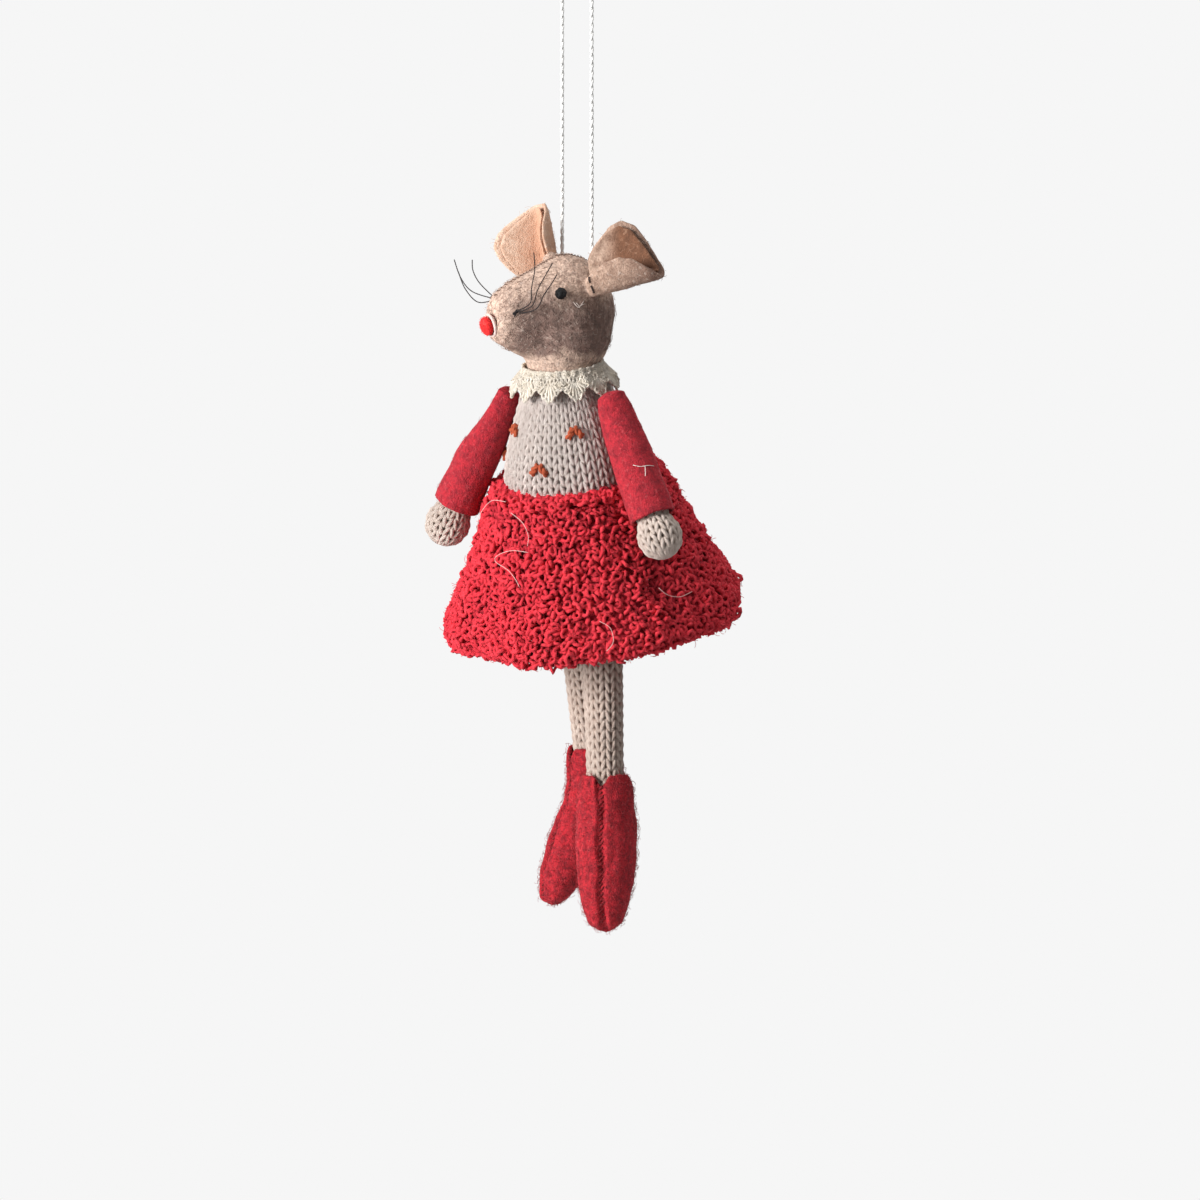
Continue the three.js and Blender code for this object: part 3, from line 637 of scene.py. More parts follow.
class MOUSE_OT_stage(bpy.types.Operator):
    """Makes the camera, the lamps, the pale floor and the backdrop"""
    bl_idname = "mouse.stage"
    bl_label = "Stage"

    def execute(self, context):
        settings = context.scene.mouse_stage
        distance = 5.0  # far off, as with a long lens
        camera = aimed("camera", bpy.data.cameras.new("camera"), TOWARDS * distance)
        camera.data.lens = 36 * distance / (1200 * COLUMN)
        camera.data.clip_end = 20
        context.scene.camera = camera
        lamps = (("key_lamp", TOWARDS * 0.5 - RIGHT * 0.85 + UP * 0.15, 0.45, settings.key),
                 ("fill_lamp", TOWARDS * 0.3 + RIGHT * 0.35 + UP * 1.0, 0.7, settings.fill),
                 ("back_lamp", UP * 0.3 - TOWARDS * 0.95, 0.7, settings.back))
        for name, offset, size, power in lamps:
            light = bpy.data.lights.new(name, "AREA")
            light.size, light.energy = size, power
            aimed(name, light, offset).visible_camera = False
        shape = bmesh.new()
        radius, height = 0.42, -0.45  # of the floor, in metres
        bmesh.ops.create_circle(shape, cap_ends=True, segments=64, radius=radius)
        bmesh.ops.translate(shape, verts=shape.verts, vec=(0, 0, height))
        floor = added("floor", mesh_of(shape, "floor"))
        plaster = Finish("floor_plaster", Roughness=0.9)
        plaster.colour(plaster.mixed(plaster.speckle(30), tint(206, 206, 206), tint(213, 213, 213)))
        floor.data.materials.append(plaster.material)
        world = bpy.data.worlds.new("studio")
        context.scene.world = world
        world.use_nodes = True
        tree = world.node_tree
        air = tree.nodes["Background"]
        air.inputs["Color"].default_value = (1, 1, 1, 1)
        air.inputs["Strength"].default_value = 0.19
        shown = tree.nodes.new("ShaderNodeBackground")
        shown.inputs["Color"].default_value = settings.backdrop
        path = tree.nodes.new("ShaderNodeLightPath")
        either = tree.nodes.new("ShaderNodeMath")
        either.operation = "MAXIMUM"
        mix = tree.nodes.new("ShaderNodeMixShader")
        for start, end in ((path.outputs["Is Camera Ray"], either.inputs[0]),
                           (path.outputs["Is Glossy Ray"], either.inputs[1]),
                           (either.outputs[0], mix.inputs[0]), (air.outputs[0], mix.inputs[1]),
                           (shown.outputs[0], mix.inputs[2]),
                           (mix.outputs[0], tree.nodes["World Output"].inputs[0])):
            tree.links.new(start, end)
        context.scene.view_settings.view_transform = "Standard"
        return {"FINISHED"}


class MOUSE_OT_string(bpy.types.Operator):
    """Makes the twisted string loop that the mouse hangs by"""
    bl_idname = "mouse.string"
    bl_label = "Hanging string"

    def execute(self, context):
        settings = context.scene.mouse_string
        along = Vector((math.cos(STRING_TURN), math.sin(STRING_TURN), 0))
        line = curved([(along * x + Vector((0, 0, z))) * MM for x, z in STRING_LINE], 640)
        plies = twisted(line, settings.thickness * 0.19, settings.pitch)
        cotton = yarn_finish("twisted_cotton", settings.cotton, tint(250, 248, 244), 190, 2, 0.05)
        string = piece("hanging_cord", strands(plies, settings.thickness * 0.62), cotton, None,
                       ["hanging_string"])
        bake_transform(string)
        metres = sum((b - a).length for a, b in zip(line, line[1:]))
        return {"FINISHED"}


def cheek_felt(settings):
    """Felt that is pale on the crown, snout and chin and dark on the cheeks."""
    felt = wool("cheek_felt", settings.crown, 0.15)
    height = felt.part(felt.here, 2) * (1 / MM) + felt.speckle(5, 4.0) * 12 - 6
    ahead = HEAD.to_3x3() @ Vector((0, -1, 0))
    centre = HEAD.translation.dot(ahead) / MM
    patch = (felt.steps(-107.0, -102.5, height) * (1 - felt.steps(-94.0, -85.0, height))
             * (1 - felt.along(ahead, centre + 15, centre + 21)))
    brown = felt.mixed(felt.steps(0.42, 0.6, felt.speckle(2.6, 5.0, 0.6)), settings.cheek, tint(88, 70, 66))
    base = felt.mixed(patch * 0.9, settings.crown, brown)
    return matted(felt, base, tint(120, 94, 84), tint(232, 212, 198), 1.2)


def crown_seam(tree):
    """Small overcast stitches along the seam over the crown."""
    turn = HEAD.to_3x3()
    stitches = [[(HEAD.translation + turn @ Vector((side * MM, 0, 0)),
                  turn @ Vector((0, -math.cos(angle + ahead), math.sin(angle + ahead))), lift)
                 for side, ahead, lift in ((-0.8, -0.012, -0.1), (0, 0, 0.22), (0.8, 0.012, -0.1))]
                for angle in (math.radians(14 + 3.45 * i) for i in range(46))]
    brown = yarn_finish("seam_thread", tint(112, 84, 70), tint(70, 52, 44), 6, 2, 0.05)
    piece("crown_stitches", strands(stitched(tree, stitches), 0.34 * MM), brown, "head",
          ["crown_seam"])


def loose_threads(mesh):
    """The dark stitches at the near ear and a tuft of white wool under the eye."""
    shape = surface_of("ear_left_felt")
    shape.from_mesh(mesh)
    tree = BVHTree.FromBMesh(shape)
    shape.free()
    dark = yarn_finish("ear_thread", tint(62, 46, 42), tint(34, 26, 24), 8, 2, 0.04)
    strokes = [[(589, 278.5), (589, 281.5), (590, 284.5)], [(591, 287.5), (592.5, 291), (594, 294.5)]]
    piece("ear_stitches", strands(drawn(tree, strokes, 0.08), 0.42 * MM), dark, "head")
    white = yarn_finish("white_wool", tint(240, 226, 216), tint(220, 200, 190), 8, 2, 0.03)
    strokes = [[(573, 303), (577, 308)], [(575, 305), (578, 309), (581, 306)], [(579, 309), (584, 302)],
               [(576, 304), (580, 308)], [(580, 307), (585, 305)]]
    paths = [[seen(tree, x, y, 0.1) for x, y in stroke] for stroke in strokes]
    piece("white_tuft", strands(paths, 0.22 * MM), white, "head")


def ears(settings):
    """The folded felt ears with their linings."""
    pale, lining, rosy = tint(234, 204, 182), tint(232, 202, 180), tint(196, 150, 122)
    leaf = 0.75  # how much of its rectangle a leaf of felt fills
    # Tones: sheen, mottle, where the painted shade starts and ends along the view's right, and the lit and
    # the shaded tone.
    for side, seed, cut, outer_tones, inner_tones in (
            ("left", 21, (0.031, 0.021),
             (settings.ear, tint(128, 98, 82), 8, 22, tint(200, 168, 148), tint(126, 98, 86)),
             (settings.lining, tint(92, 60, 42), 5, 12, tint(206, 176, 156), settings.lining)),
            ("right", 31, (0.025, 0.02),
             (pale, rosy, -12, -5, pale, tint(168, 128, 106)),
             (lining, rosy, -19, -9, lining, tint(206, 162, 136)))):
        felt = ear_felt(f"ear_{side}_wool", 0.2, outer_tones, tint(236, 220, 206), 2.4)
        mesh = felted(surface_of(f"ear_{side}_felt"), 0.3, 0.22, seed, rounds=50)
        ear = piece(f"ear_{side}", mesh, felt, "head", [f"ear_{side}_felt"])
        nap = fibres(mesh, 320, 1.3, seed, lie=0.85)
        piece(f"ear_{side}_nap", strands(nap, 0.06 * MM, 0), felt, "head")
        felt = ear_felt(f"ear_{side}_lined", 0.1, inner_tones, tint(190, 150, 124), 2.6)
        mesh = felted(surface_of(f"ear_{side}_lining"), 0.28, 0.1, seed + 1, rounds=50)
        inside = piece(f"ear_{side}_inside", mesh, felt, "head", [f"ear_{side}_lining"])
        leaf * cut[0] * cut[1]
        cut = (cut[0] - 0.004, cut[1] - 0.003)
        leaf * cut[0] * cut[1]


def ear_felt(name, sheen, tones, fleck, size):
    """Felt painted with shade across the view: lit to the left, darker from one place to another toward the
    right.
    """
    main, dark, start, end, near, far = tones
    felt = wool(name, main, sheen)
    # Painted shade: the felt goes from the near tone to the darker far tone toward the view's right.
    return matted(felt, felt.mixed(felt.along(RIGHT, start, end), near, far), dark, fleck, size)


def face(settings, tree):
    """Bead eyes, a wool nose in its pale cup, and thread whiskers."""
    bead = Finish("black_glass_bead", Roughness=0.5, Specular_IOR_Level=0.2)
    pits = bead.steps(0.5, 0.72, bead.speckle(0.5))
    bead.colour(bead.mixed(pits, tint(7, 7, 8), tint(30, 29, 32)))
    bead.raised(bead.speckle(0.45, 3.0), 0.4)
    for side in SIDES:
        low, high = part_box(f"eye_{side}")
        radius = (high - low).length / 3.5
        felt, outward, _, _ = tree.find_nearest((low + high) / 2)
        shape = bmesh.new()
        bmesh.ops.create_icosphere(shape, subdivisions=4, radius=radius)
        for vert in shape.verts:
            vert.co *= 1 + 0.13 * noise.noise(vert.co * 1500)
        bmesh.ops.translate(shape, verts=shape.verts, vec=felt + outward * radius * 0.5)
        piece(f"bead_eye_{side}", mesh_of(shape), bead.material, "head", [f"eye_{side}"])
    red = felt_finish("nose_wool", settings.nose, tint(206, 22, 28), tint(250, 92, 84), 0.7)
    back = HEAD.to_3x3() @ Vector((0, 1, 0))
    mesh = felted(surface_of("nose"), 0.25, 0.12, 5, whole=True)
    low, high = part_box("nose")
    for vertex in mesh.vertices:
        vertex.co += (vertex.co - (low + high) / 2) * 0.12 + back * 0.7 * MM
    piece("wool_nose", mesh, red, "head", ["nose"])
    piece("nose_nap", strands(fibres(mesh, 200, 0.6, 5), 0.06 * MM, 0), red, "head")
    pale = felt_finish("pale_nose_wool", tint(232, 212, 204), tint(206, 178, 168), tint(246, 236, 230))
    mesh = felted(surface_of("nose_cup"), 0.22, 0.1, 6)
    for vertex in mesh.vertices:
        vertex.co += back * 0.6 * MM
    piece("nose_cup_wool", mesh, pale, "head", ["nose_cup"])
    whiskers()


def whiskers():
    """Three curved threads on each cheek, whose roots are drawn together in a knot."""
    unit, knot, spread = 13.6, 10.6, 3  # of the routes, the knot's place and the roots, in millimetres
    tree = tree_of("head_left_felt", "head_right_felt")
    routes = {
        ("left", 1): [(1.353, 0.066), (0.81, -1.11, 0.25), (0.92, -1.125, 0.56), (0.99, -1.09, 0.94),
                      (1.03, -1.13, 1.265)],
        ("left", 2): [(1.265, 0.044), (0.8, -1.06, 0.2), (0.92, -0.99, 0.53), (1.03, -0.87, 0.82),
                      (1.1, -0.76, 1.05)],
        ("left", 3): [(1.191, -0.02), (0.82, -0.99, 0.13), (0.93, -0.86, 0.42), (1.07, -0.76, 0.65),
                      (1.18, -0.7, 0.83)],
        ("right", 1): [(1.39, 0.19), (-0.77, -1.6, 0.38), (-1, -1.735, 0.63), (-1.147, -1.81, 0.985)],
        ("right", 2): [(1.32, 0.28), (-0.79, -1.43, 0.54), (-1, -1.47, 0.765), (-1.1, -1.44, 0.97)],
        ("right", 3): [(1.28, 0.06), (-0.85, -1.44, 0.16), (-1.147, -1.57, 0.4),
                       (-1.353, -1.62, 0.72)],
    }
    black = yarn_finish("whisker_thread", tint(44, 38, 38), tint(20, 16, 16), 60, 2, 0.03)
    for (side, number), (root, *free) in routes.items():
        out = HEAD.to_3x3() @ Vector((1 if side == "left" else -1, 0, 0))
        middle = routes[side, 2][0]
        start = Vector((0, -root[0] * spread - middle[0] * knot, root[1] * spread + middle[1] * knot)) * MM
        hit = outside(tree, HEAD @ start, out)
        points = [hit - out * 0.5 * MM]
        points += [HEAD @ (Vector(point) * unit * MM) for point in free]
        piece(f"whisker_{side}_{number}_thread", thread(points, 0.34 * MM, 90), black, "head",
              [f"whisker_{side}_{number}"])
        if number == 2:
            tie(f"whisker_knot_{side}", hit, out, black)


def tie(name, place, out, finish):
    """A few turns of thread where the whiskers leave the cheek."""
    across = out.orthogonal().normalized()
    over = out.cross(across)
    path = [place + out * (0.05 + 0.02 * (i % 5)) * MM
            + (across * math.cos(i * 1.9) * 0.9 + over * math.sin(i * 1.1) * 0.55) * MM
            for i in range(16)]
    piece(name, strands([curved(path, 120)], 0.4 * MM), finish, "head")


class MOUSE_OT_head(bpy.types.Operator):
    """Makes the stuffed felt head with its seam, ears, eyes, nose and whiskers"""
    bl_idname = "mouse.head"
    bl_label = "Head and face"

    def execute(self, context):
        settings = context.scene.mouse_felt
        nodes = ["head_left_felt", "head_right_felt", "head_stuffing"]
        shape = bmesh.new()
        turned(shape, [(0, -98), (13.2, -98), (12.8, -101.3), (11.2, -105.3), (9.9, -107.4), (9.2, -109.9),
                       (0, -109.9)], 64)
        bmesh.ops.translate(shape, verts=shape.verts, vec=Vector((*AXIS, 0)) * MM)
        tree = tree_of("head_left_felt", "head_right_felt")
        roots = [vertex.co.copy() for side in SIDES
                 for vertex in frame["nodes"][f"ear_{side}_felt"].data.vertices
                 if tree.find_nearest(vertex.co)[3] < 1.1 * MM]
        for root in roots:  # the gathered wool where the ears are sewn on
            bmesh.ops.create_icosphere(shape, subdivisions=2, radius=1.5 * MM,
                                       matrix=Matrix.Translation(root))
        for node in nodes:
            shape.from_mesh(frame["nodes"][node].data)
        bmesh.ops.remove_doubles(shape, verts=shape.verts, dist=1e-6)
        mesh = felted(shape, 0.5, 0.35, 3, whole=True, rounds=10)
        finish = cheek_felt(settings)
        head = piece("head_felt", mesh, finish, "head", [*nodes, "string_inside_head"])
        nap = [path for path in fibres(mesh, 2600, 1.7, 11, lie=0.88) if path[0].z > -104 * MM]
        piece("head_nap", strands(nap, 0.08 * MM, 0), finish, "head")
        crown_seam(tree_over(mesh))
        loose_threads(mesh)
        ears(settings)
        face(settings, tree_over(mesh))
        return {"FINISHED"}


def rust_marks(settings, tree):
    """Rust stitches, each like a small roof, sewn over the knitting."""
    rust = yarn_finish("rust_yarn", settings.rust, tint(132, 54, 28), 3)
    for number in ("1_1", "1_2", "1_3", "1_4", "2_1", "2_2", "2_3", "2_4"):
        low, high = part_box(f"rust_mark_{number}")
        centre = TORSO.inverted() @ ((low + high) / 2)
        angle = math.atan2(centre.y, centre.x)
        paths = []
        for side in (-1, 1):
            path = []
            for share in (0, 0.2, 0.45, 0.7, 1):
                turn = angle + side * (0.012 + 0.11 * share)
                away = TORSO.to_3x3() @ Vector((math.cos(turn), math.sin(turn), 0))
                axis = TORSO @ Vector((0, 0, centre.z + (1.1 - 2.4 * share) * MM))
                proud = 0.35 + 0.5 * math.sin(math.pi * share)
                path.append(outside(tree, axis, away) + away * proud * MM)
            paths += twisted(curved(path, 12), 0.42 * MM, 3 * MM)
        piece(f"rust_stitch_{number}", strands(paths, 1.1 * MM), rust, "torso",
              [f"rust_mark_{number}"])


def collar(settings):
    """Crocheted lace: a firm band, an open net and pointed fans."""
    def at(angle, share, lift=0.0):
        wave = math.cos((angle - math.radians(15)) * 12) / 2 + 0.5
        drop, out, down = 3 * wave * share * share, math.sin(math.radians(44)), math.cos(math.radians(44))
        radius = 10.6 + max(share, 0) * 4.6 * out + drop * out * 0.4 + lift * down
        height = -share * 4.6 * down - drop + lift * out
        return COLLAR @ (Vector((radius * math.sin(angle), -radius * math.cos(angle), height)) * MM)

    def ring(share, swing, waves, lift, shift=0.0):
        return [at(a, share + swing * math.sin(a * waves + shift), lift * math.cos(a * waves * 0.5))
                for a in (math.tau * i / 480 for i in range(480))]

    rings = [ring(-0.24, 0.045, 60, 0.2), ring(-0.12, 0.05, 60, 0.2, math.pi),
             ring(0.0, 0.05, 60, 0.25), ring(0.12, 0.05, 60, 0.2, math.pi),
             ring(0.34, 0.16, 36, 0.2), ring(0.34, 0.16, 36, 0.2, math.pi),
             ring(0.62, 0.12, 48, 0.2), ring(0.62, 0.12, 48, 0.2, math.pi),
             ring(0.86, 0.03, 60, 0.25), ring(1.0, 0.035, 72, 0.25, math.pi)]
    fans = []
    for point in range(12):
        middle = math.radians(15 + 30 * point)
        for spoke in range(-3, 4):
            fans.append([at(middle + math.radians(spoke * (1.6 + 2.4 * step / 5)), 0.5 + 0.1 * step,
                            0.3 * math.sin(math.pi * step / 5)) for step in range(6)])
    lace = yarn_finish("lace_thread", settings.lace, tint(224, 204, 176), 120, 2, 0.1)
    cream = strands(rings, 0.72 * MM, 1, True)
    shape = bmesh.new()
    shape.from_mesh(cream)
    shape.from_mesh(strands(fans, 0.8 * MM))
    piece("crochet_collar", mesh_of(shape), lace, "torso", ["lace_collar"])
    sewn = yarn_finish("neck_thread", tint(214, 196, 182), tint(170, 150, 138), 40, 2, 0.05)
    piece("neck_thread_ring", thread(circle(TORSO, 7.7, -0.1, 48), 0.8 * MM, 200), sewn, "torso",
          ["neck_stitching"])


class MOUSE_OT_body(bpy.types.Operator):
    """Makes the knitted body with its rust marks, its neck stitching and the lace collar"""
    bl_idname = "mouse.body"
    bl_label = "Body and collar"

    def execute(self, context):
        settings = context.scene.mouse_knit
        stuffing = felt_finish("stuffing", tint(234, 218, 210), tint(210, 192, 184), tint(242, 232, 226))
        padding("torso_padding", "torso_stuffing", "torso", stuffing)
        stitches = 38
        # knit=True paints shade where the yarn sinks between the stitches.
        beige = yarn_finish("beige_yarn", settings.beige, tint(214, 194, 184), stitches * 3, knit=True)
        knitting("torso_knitting", "torso_knit", TORSO, "torso", beige, settings.row / MM,
                 settings.yarn / MM, stitches, (2, 1.4), short=3, spare=4)
        rust_marks(settings, tree_of("torso_knit"))
        collar(settings)
        return {"FINISHED"}


def stray_fibres(tree):
    """Long pale fibres caught on the wool."""
    pale = yarn_finish("stray_fibre", tint(238, 196, 190), tint(214, 160, 156), 8, 2, 0.02)
    routes = [[(510, 506), (497, 505), (489, 512), (485, 521), (484, 531)],
              [(532, 553), (516, 551), (503, 556), (501, 562), (513, 571), (520, 580), (523, 588)],
              [(516, 514), (527, 524), (532, 536), (531, 546)],
              [(655, 590), (664, 597), (676, 599), (688, 594)],
              [(600, 622), (610, 629), (613, 641), (607, 650)]]
    piece("stray_fibres", strands(drawn(tree, routes, 1.9, 24), 0.16 * MM), pale, "torso")


def skirt_cloth(finish):
    """The gathered bell of cloth under the loops."""
    shares = [(-0.07, 0), (0.03, 0.05), (0.11, 0.09), (0.2, 0.14), (0.29, 0.25), (0.4, 0.38), (0.58, 0.54),
              (0.8, 0.72), (0.96, 0.86), (1, 0.93), (0.95, 0.975)]
    shape = bmesh.new()
    turned(shape, [(20.2 + out * 18, -30.6 - down * 40) for out, down in shares], 96)
    for vert in shape.verts:
        fall = max(-vert.co.z / MM - 34, 0) / 36
        angle = math.atan2(vert.co.y, vert.co.x)
        vert.co.xy *= 1 + 0.02 * fall * math.cos(8 * angle)
    bmesh.ops.transform(shape, matrix=TORSO, verts=shape.verts)
    area = sum(face.calc_area() for face in shape.faces)
    # The cloth keeps no heights, so the looped-wool finish paints all of it in the painted shade colour of
    # the hollows.
    cloth = piece("skirt_cloth", mesh_of(shape), finish, "torso")
    wall = cloth.modifiers.new("Cloth", "SOLIDIFY")
    wall.thickness, wall.offset = 0.8 * MM, 0


def loop_places(spacing):
    """Where the loops stand: evenly scattered points on the outer side, with their directions."""
    shape = surface_of("skirt")
    chance = random.Random(5)
    chosen, areas = [], []
    back = TORSO.inverted()
    for face in shape.faces:
        middle = back @ face.calc_center_median()
        normal = back.to_3x3() @ face.normal
        away = Vector((middle.x, middle.y, 0)).normalized()
        if normal.dot(away) > 0.05 or normal.z > 0.4 or (normal.z < -0.4 and middle.z < -0.064):
            chosen.append(([vert.co.copy() for vert in face.verts], face.normal.copy()))
            areas.append(face.calc_area())
    shape.free()
    cells, places = {}, []
    for corners, normal in chance.choices(chosen, areas, k=26000):
        u, v = chance.random(), chance.random()
        if u + v > 1:
            u, v = 1 - u, 1 - v
        point = corners[0] + (corners[1] - corners[0]) * u + (corners[2] - corners[0]) * v
        cell = tuple(math.floor(value / spacing) for value in point)
        near = [other for dx in (-1, 0, 1) for dy in (-1, 0, 1) for dz in (-1, 0, 1)
                for other in cells.get((cell[0] + dx, cell[1] + dy, cell[2] + dz), ())]
        if all((point - other).length > spacing for other in near):
            cells.setdefault(cell, []).append(point)
            places.append((point, normal))
    return places


class MOUSE_OT_skirt(bpy.types.Operator):
    """Makes the skirt: a cloth with thousands of small loops of wool on it"""
    bl_idname = "mouse.skirt"
    bl_label = "Skirt"

    def execute(self, context):
        settings = context.scene.mouse_skirt
        # The last colour is painted shade, for the hollows between the loops and the cloth under them.
        finish = boucle_finish("boucle_wool", settings.bright, settings.deep, tint(160, 12, 36))
        skirt_cloth(finish)
        tree = tree_of("skirt")
        places = loop_places(settings.spacing)
        rows, each = 3, 120  # of the loops that stand close together along the rim
        for i in range(rows * each):
            angle, row = math.tau * i / each, i % rows
            away = Vector((math.cos(angle), math.sin(angle), 0))
            spot = away * (19.5 + 0.7 * row) * MM - Vector((0, 0, WAIST + 0.5 * row)) * MM
            places.append((TORSO @ spot, TORSO.to_3x3() @ (away * 0.5 + Vector((0, 0, 1))).normalized()))
        chance = random.Random(8)
        upper, lower = [], []
        rim, slope, middle, hem = -31.5, -38, -53, -66  # heights on the torso's line, in millimetres
        for point, outward in places:
            size = settings.loop * chance.uniform(0.75, 1.2)
            height = (TORSO.inverted() @ point).z / MM
            lump = noise.noise(point * 190) * 1.3 - 0.7
            if height > rim:
                lump = 0.1
            elif height > slope:
                lump -= 0.9 * (height - slope) / 8
            if height < hem and chance.random() < 0.12:
                size, lump = size * 1.35, lump + 0.5
            path = curl(chance, point + outward * lump * MM, outward, size)
            (upper if height > middle else lower).append(path)
        noise.seed_set(8)  # noise_vector would start from the clock
        for name, paths, nodes in (("skirt_loops_upper", upper, ["skirt"]),
                                   ("skirt_loops_hem", lower, [])):
            mesh = strands(paths, settings.yarn, 0)
            for vertex in mesh.vertices:
                vertex.co += noise.noise_vector(vertex.co * 900) * 0.35 * MM
            # The heights kept here set the painted shade low between the loops and on the fluff.
            piece(name, measured(mesh, tree, -1.6, 1.3), finish, "torso", nodes)
            fluff = strands(fibres(mesh, 3400, 1.5, 9, 0.75), 0.12 * MM, 0)
            piece(name.replace("loops", "fluff"), measured(fluff, tree, -1.2, 2.2), finish, "torso")
        stray_fibres(tree)
        red = yarn_finish("waist_thread", tint(150, 22, 34), tint(96, 10, 20), 60, 2, 0.05)
        piece("waist_thread_ring", thread(circle(TORSO, 20.6, -WAIST, 64, 1.06), 1.0 * MM, 260), red,
              "torso", ["waist_seam"])
        return {"FINISHED"}


def stray_threads(tree):
    """The short white threads that hang on the near sleeve."""
    white = yarn_finish("stray_thread", tint(238, 226, 220), tint(214, 200, 194), 8, 2, 0.02)
    routes = [[(633, 466), (640, 467.5), (647, 466.5), (653, 467)], [(644.5, 467), (645, 472), (645, 477)]]
    piece("stray_threads", strands(drawn(tree, routes, 0.25), 0.2 * MM), white, "left_arm")


def slim_sleeve(mesh, place):
    """Draws the far sleeve in at the shoulder, on its outer side."""
    back = place.inverted()
    for vertex in mesh.vertices:
        spot = back @ vertex.co
        share = min(max((spot.z / MM + 20) / 20, 0), 1)
        if spot.x < 0:
            spot.x *= 1 - 0.55 * share * share * (3 - 2 * share)
        vertex.co = place @ spot


def square_sleeve(mesh, place, outward):
    """Makes a sleeve's round top end squarer, but not on the side of the body."""
    back = place.inverted()
    for vertex in mesh.vertices:
        spot = back @ vertex.co
        share = min(max(spot.z / (4.7 * MM), 0), 0.93)
        wider = (1 - share ** 4) ** 0.25 / (1 - share ** 2) ** 0.5
        spot.y *= wider
        spot.x *= wider if spot.x * outward > 0 else 1
        vertex.co = place @ spot


class MOUSE_OT_arms(bpy.types.Operator):
    """Makes the felt sleeves and the knitted hands"""
    bl_idname = "mouse.arms"
    bl_label = "Arms"

    def execute(self, context):
        settings = context.scene.mouse_knit
        red = felt_finish("sleeve_felt", context.scene.mouse_felted.sleeve, tint(112, 18, 32),
                          tint(214, 92, 96), 1.9, 0.4)
        stuffing = felt_finish("arm_stuffing", tint(206, 196, 184), tint(160, 148, 136),
                               tint(230, 222, 212))
        # knit=True paints shade where the yarn sinks between the stitches.
        cream = yarn_finish("cream_yarn", settings.cream, tint(192, 168, 152), 33, knit=True)
        for seed, side in enumerate(SIDES, 41):
            body = f"{side}_arm"
            mesh = felted(surface_of(f"sleeve_{side}"), 0.36, 0.3, seed)
            square_sleeve(mesh, ARMS[side], 1 if side == "left" else -1)
            if side == "right":
                slim_sleeve(mesh, ARMS[side])
            sleeve = piece(f"felt_sleeve_{side}", mesh, red, body, [f"sleeve_{side}"])
            piece(f"sleeve_nap_{side}", strands(fibres(mesh, 700, 1.3, seed, 0.88), 0.06 * MM, 0), red, body)
            if side == "left":
                stray_threads(tree_over(mesh))
            padding(f"arm_padding_{side}", f"arm_stuffing_{side}", body, stuffing)
            if side == "right":
                slim_sleeve(bpy.data.objects[f"arm_padding_{side}"].data, ARMS[side])
            knitting(f"knitted_hand_{side}", f"hand_{side}", ARMS[side], body, cream,
                     settings.row / MM / 1.1, settings.yarn / MM * 0.9, 11, (1.5, 0.9), sink=0.35)
        return {"FINISHED"}


def boot_groove(mesh, foot):
    """Presses the front seam's groove into a boot."""
    back = foot.inverted()
    turn = back.to_3x3()
    normals = [vertex.normal.copy() for vertex in mesh.vertices]
    for vertex, normal in zip(mesh.vertices, normals):
        place = back @ vertex.co
        across = (place.x / MM - 0.3 * math.sin(place.z * 450)) / 1.4
        if abs(across) < 1 and place.y < 0 and (turn @ normal).y < 0.1:
            vertex.co -= normal * 1.3 * MM * (1 - across ** 2)


def boot_seam(mesh, side, body):
    """Short stitches that cross the groove."""
    tree = tree_over(mesh)
    foot = FEET[side]
    front = foot.to_3x3() @ Vector((0, -1, 0))
    stitches = [[(foot @ Vector((x * MM, 0.012, (2.0 - 1.35 * i) * MM + x * 0.0009)), front, lift)
                 for x, lift in ((-0.8, -0.2), (0.1, 0.2), (0.8 - 0.4 * (i % 3), -0.1))]
                for i in range(31)]
    dark = yarn_finish(f"boot_{side}_thread", tint(128, 16, 26), tint(72, 8, 14), 5, 2, 0.05)
    piece(f"boot_stitches_{side}", strands(stitched(tree, stitches, 0.08), 0.5 * MM), dark, body,
          [f"boot_{side}_seam"])


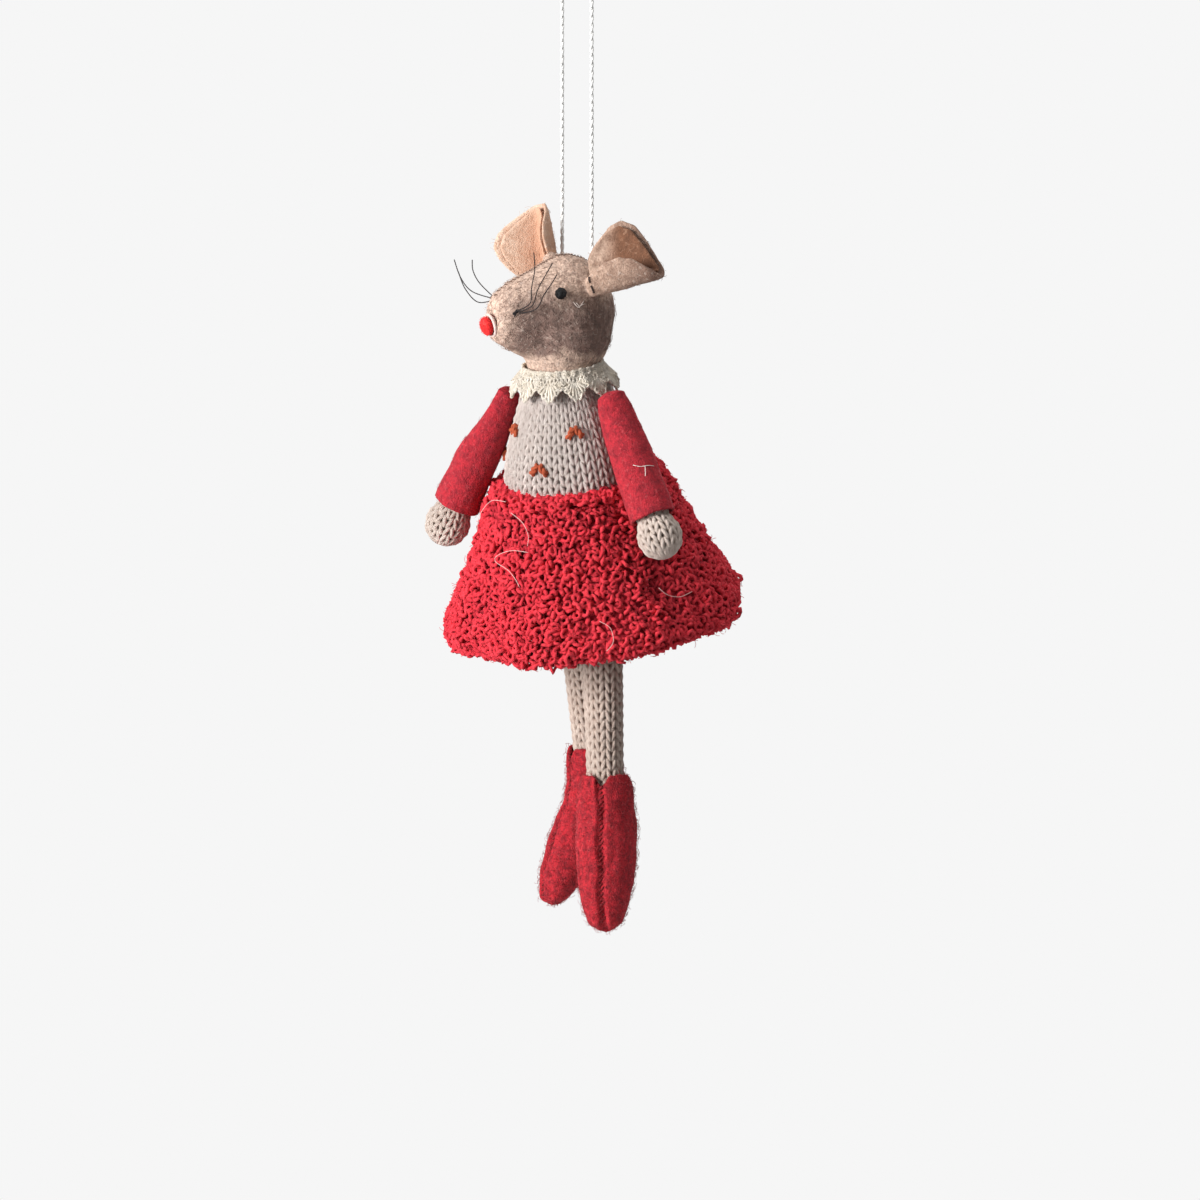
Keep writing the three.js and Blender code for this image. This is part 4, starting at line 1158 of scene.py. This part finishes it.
class MOUSE_OT_legs(bpy.types.Operator):
    """Makes the knitted legs and the felted boots"""
    bl_idname = "mouse.legs"
    bl_label = "Legs and boots"

    def execute(self, context):
        settings, colours = context.scene.mouse_knit, context.scene.mouse_felted
        # knit=True paints shade where the yarn sinks between the stitches.
        beige = yarn_finish("leg_yarn", tint(240, 220, 206), tint(180, 152, 136), 30, knit=True)
        stuffing = felt_finish("leg_stuffing", tint(206, 184, 170), tint(168, 146, 132),
                               tint(224, 208, 196))
        red = felt_finish("boot_wool", colours.boot, tint(96, 10, 24), tint(222, 84, 86), 1.8, 0.5)
        hair = felt_finish("boot_hair", tint(168, 30, 40), tint(112, 14, 26), tint(214, 120, 116), 1.2)
        for seed, side in enumerate(SIDES, 51):
            body = f"{side}_leg"
            knitting(f"knitted_leg_{side}", f"leg_{side}_knit", LEGS[side], body, beige,
                     settings.row / MM, settings.yarn / MM, 10, (2, 2), short=4)
            padding(f"leg_padding_{side}", f"leg_{side}_stuffing", body, stuffing)
            filled = surface_of(f"boot_{side}_felt", f"boot_{side}_stuffing")
            mesh = felted(filled, 0.45, 0.4, seed, whole=True)
            boot_groove(mesh, FEET[side])
            boot = piece(f"felted_boot_{side}", mesh, red, body,
                         [f"boot_{side}_felt", f"boot_{side}_stuffing"])
            fuzz = fibres(mesh, 2600, colours.fibre / MM, seed)
            piece(f"boot_hair_{side}", strands(fuzz, 0.08 * MM, 0), hair, body)
            boot_seam(mesh, side, body)
        return {"FINISHED"}


class MOUSE_PT_panel(bpy.types.Panel):
    """Lists the steps that dress the mouse"""
    bl_label = "Hanging mouse"
    bl_idname = "MOUSE_PT_panel"
    bl_space_type = "VIEW_3D"
    bl_region_type = "UI"
    bl_category = "Mouse"

    def draw(self, context):
        for step in STEPS:
            self.layout.operator(step.bl_idname)
        for name in SETTINGS:
            group = getattr(context.scene, name)
            for field in group.bl_rna.properties:
                if field.identifier not in ("rna_type", "name"):
                    self.layout.prop(group, field.identifier)


STEPS = (MOUSE_OT_stage, MOUSE_OT_string, MOUSE_OT_head, MOUSE_OT_body, MOUSE_OT_skirt,
         MOUSE_OT_arms, MOUSE_OT_legs)
SETTINGS = {"mouse_string": StringSettings, "mouse_felt": FeltSettings, "mouse_knit": KnitSettings,
            "mouse_skirt": SkirtSettings, "mouse_felted": FeltedSettings, "mouse_stage": StageSettings}
CLASSES = (*SETTINGS.values(), *STEPS, MOUSE_PT_panel)


def register():
    for kind in CLASSES:
        bpy.utils.register_class(kind)
    for name, kind in SETTINGS.items():
        setattr(bpy.types.Scene, name, bpy.props.PointerProperty(type=kind))


def unregister():
    for name in SETTINGS:
        delattr(bpy.types.Scene, name)
    for kind in reversed(CLASSES):
        bpy.utils.unregister_class(kind)


def main():
    register()
    bpy.ops.mouse.stage()
    bpy.ops.mouse.string()
    bpy.ops.mouse.head()
    bpy.ops.mouse.body()
    bpy.ops.mouse.skirt()
    bpy.ops.mouse.arms()
    bpy.ops.mouse.legs()
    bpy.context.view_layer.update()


if __name__ == "__main__":
    main()
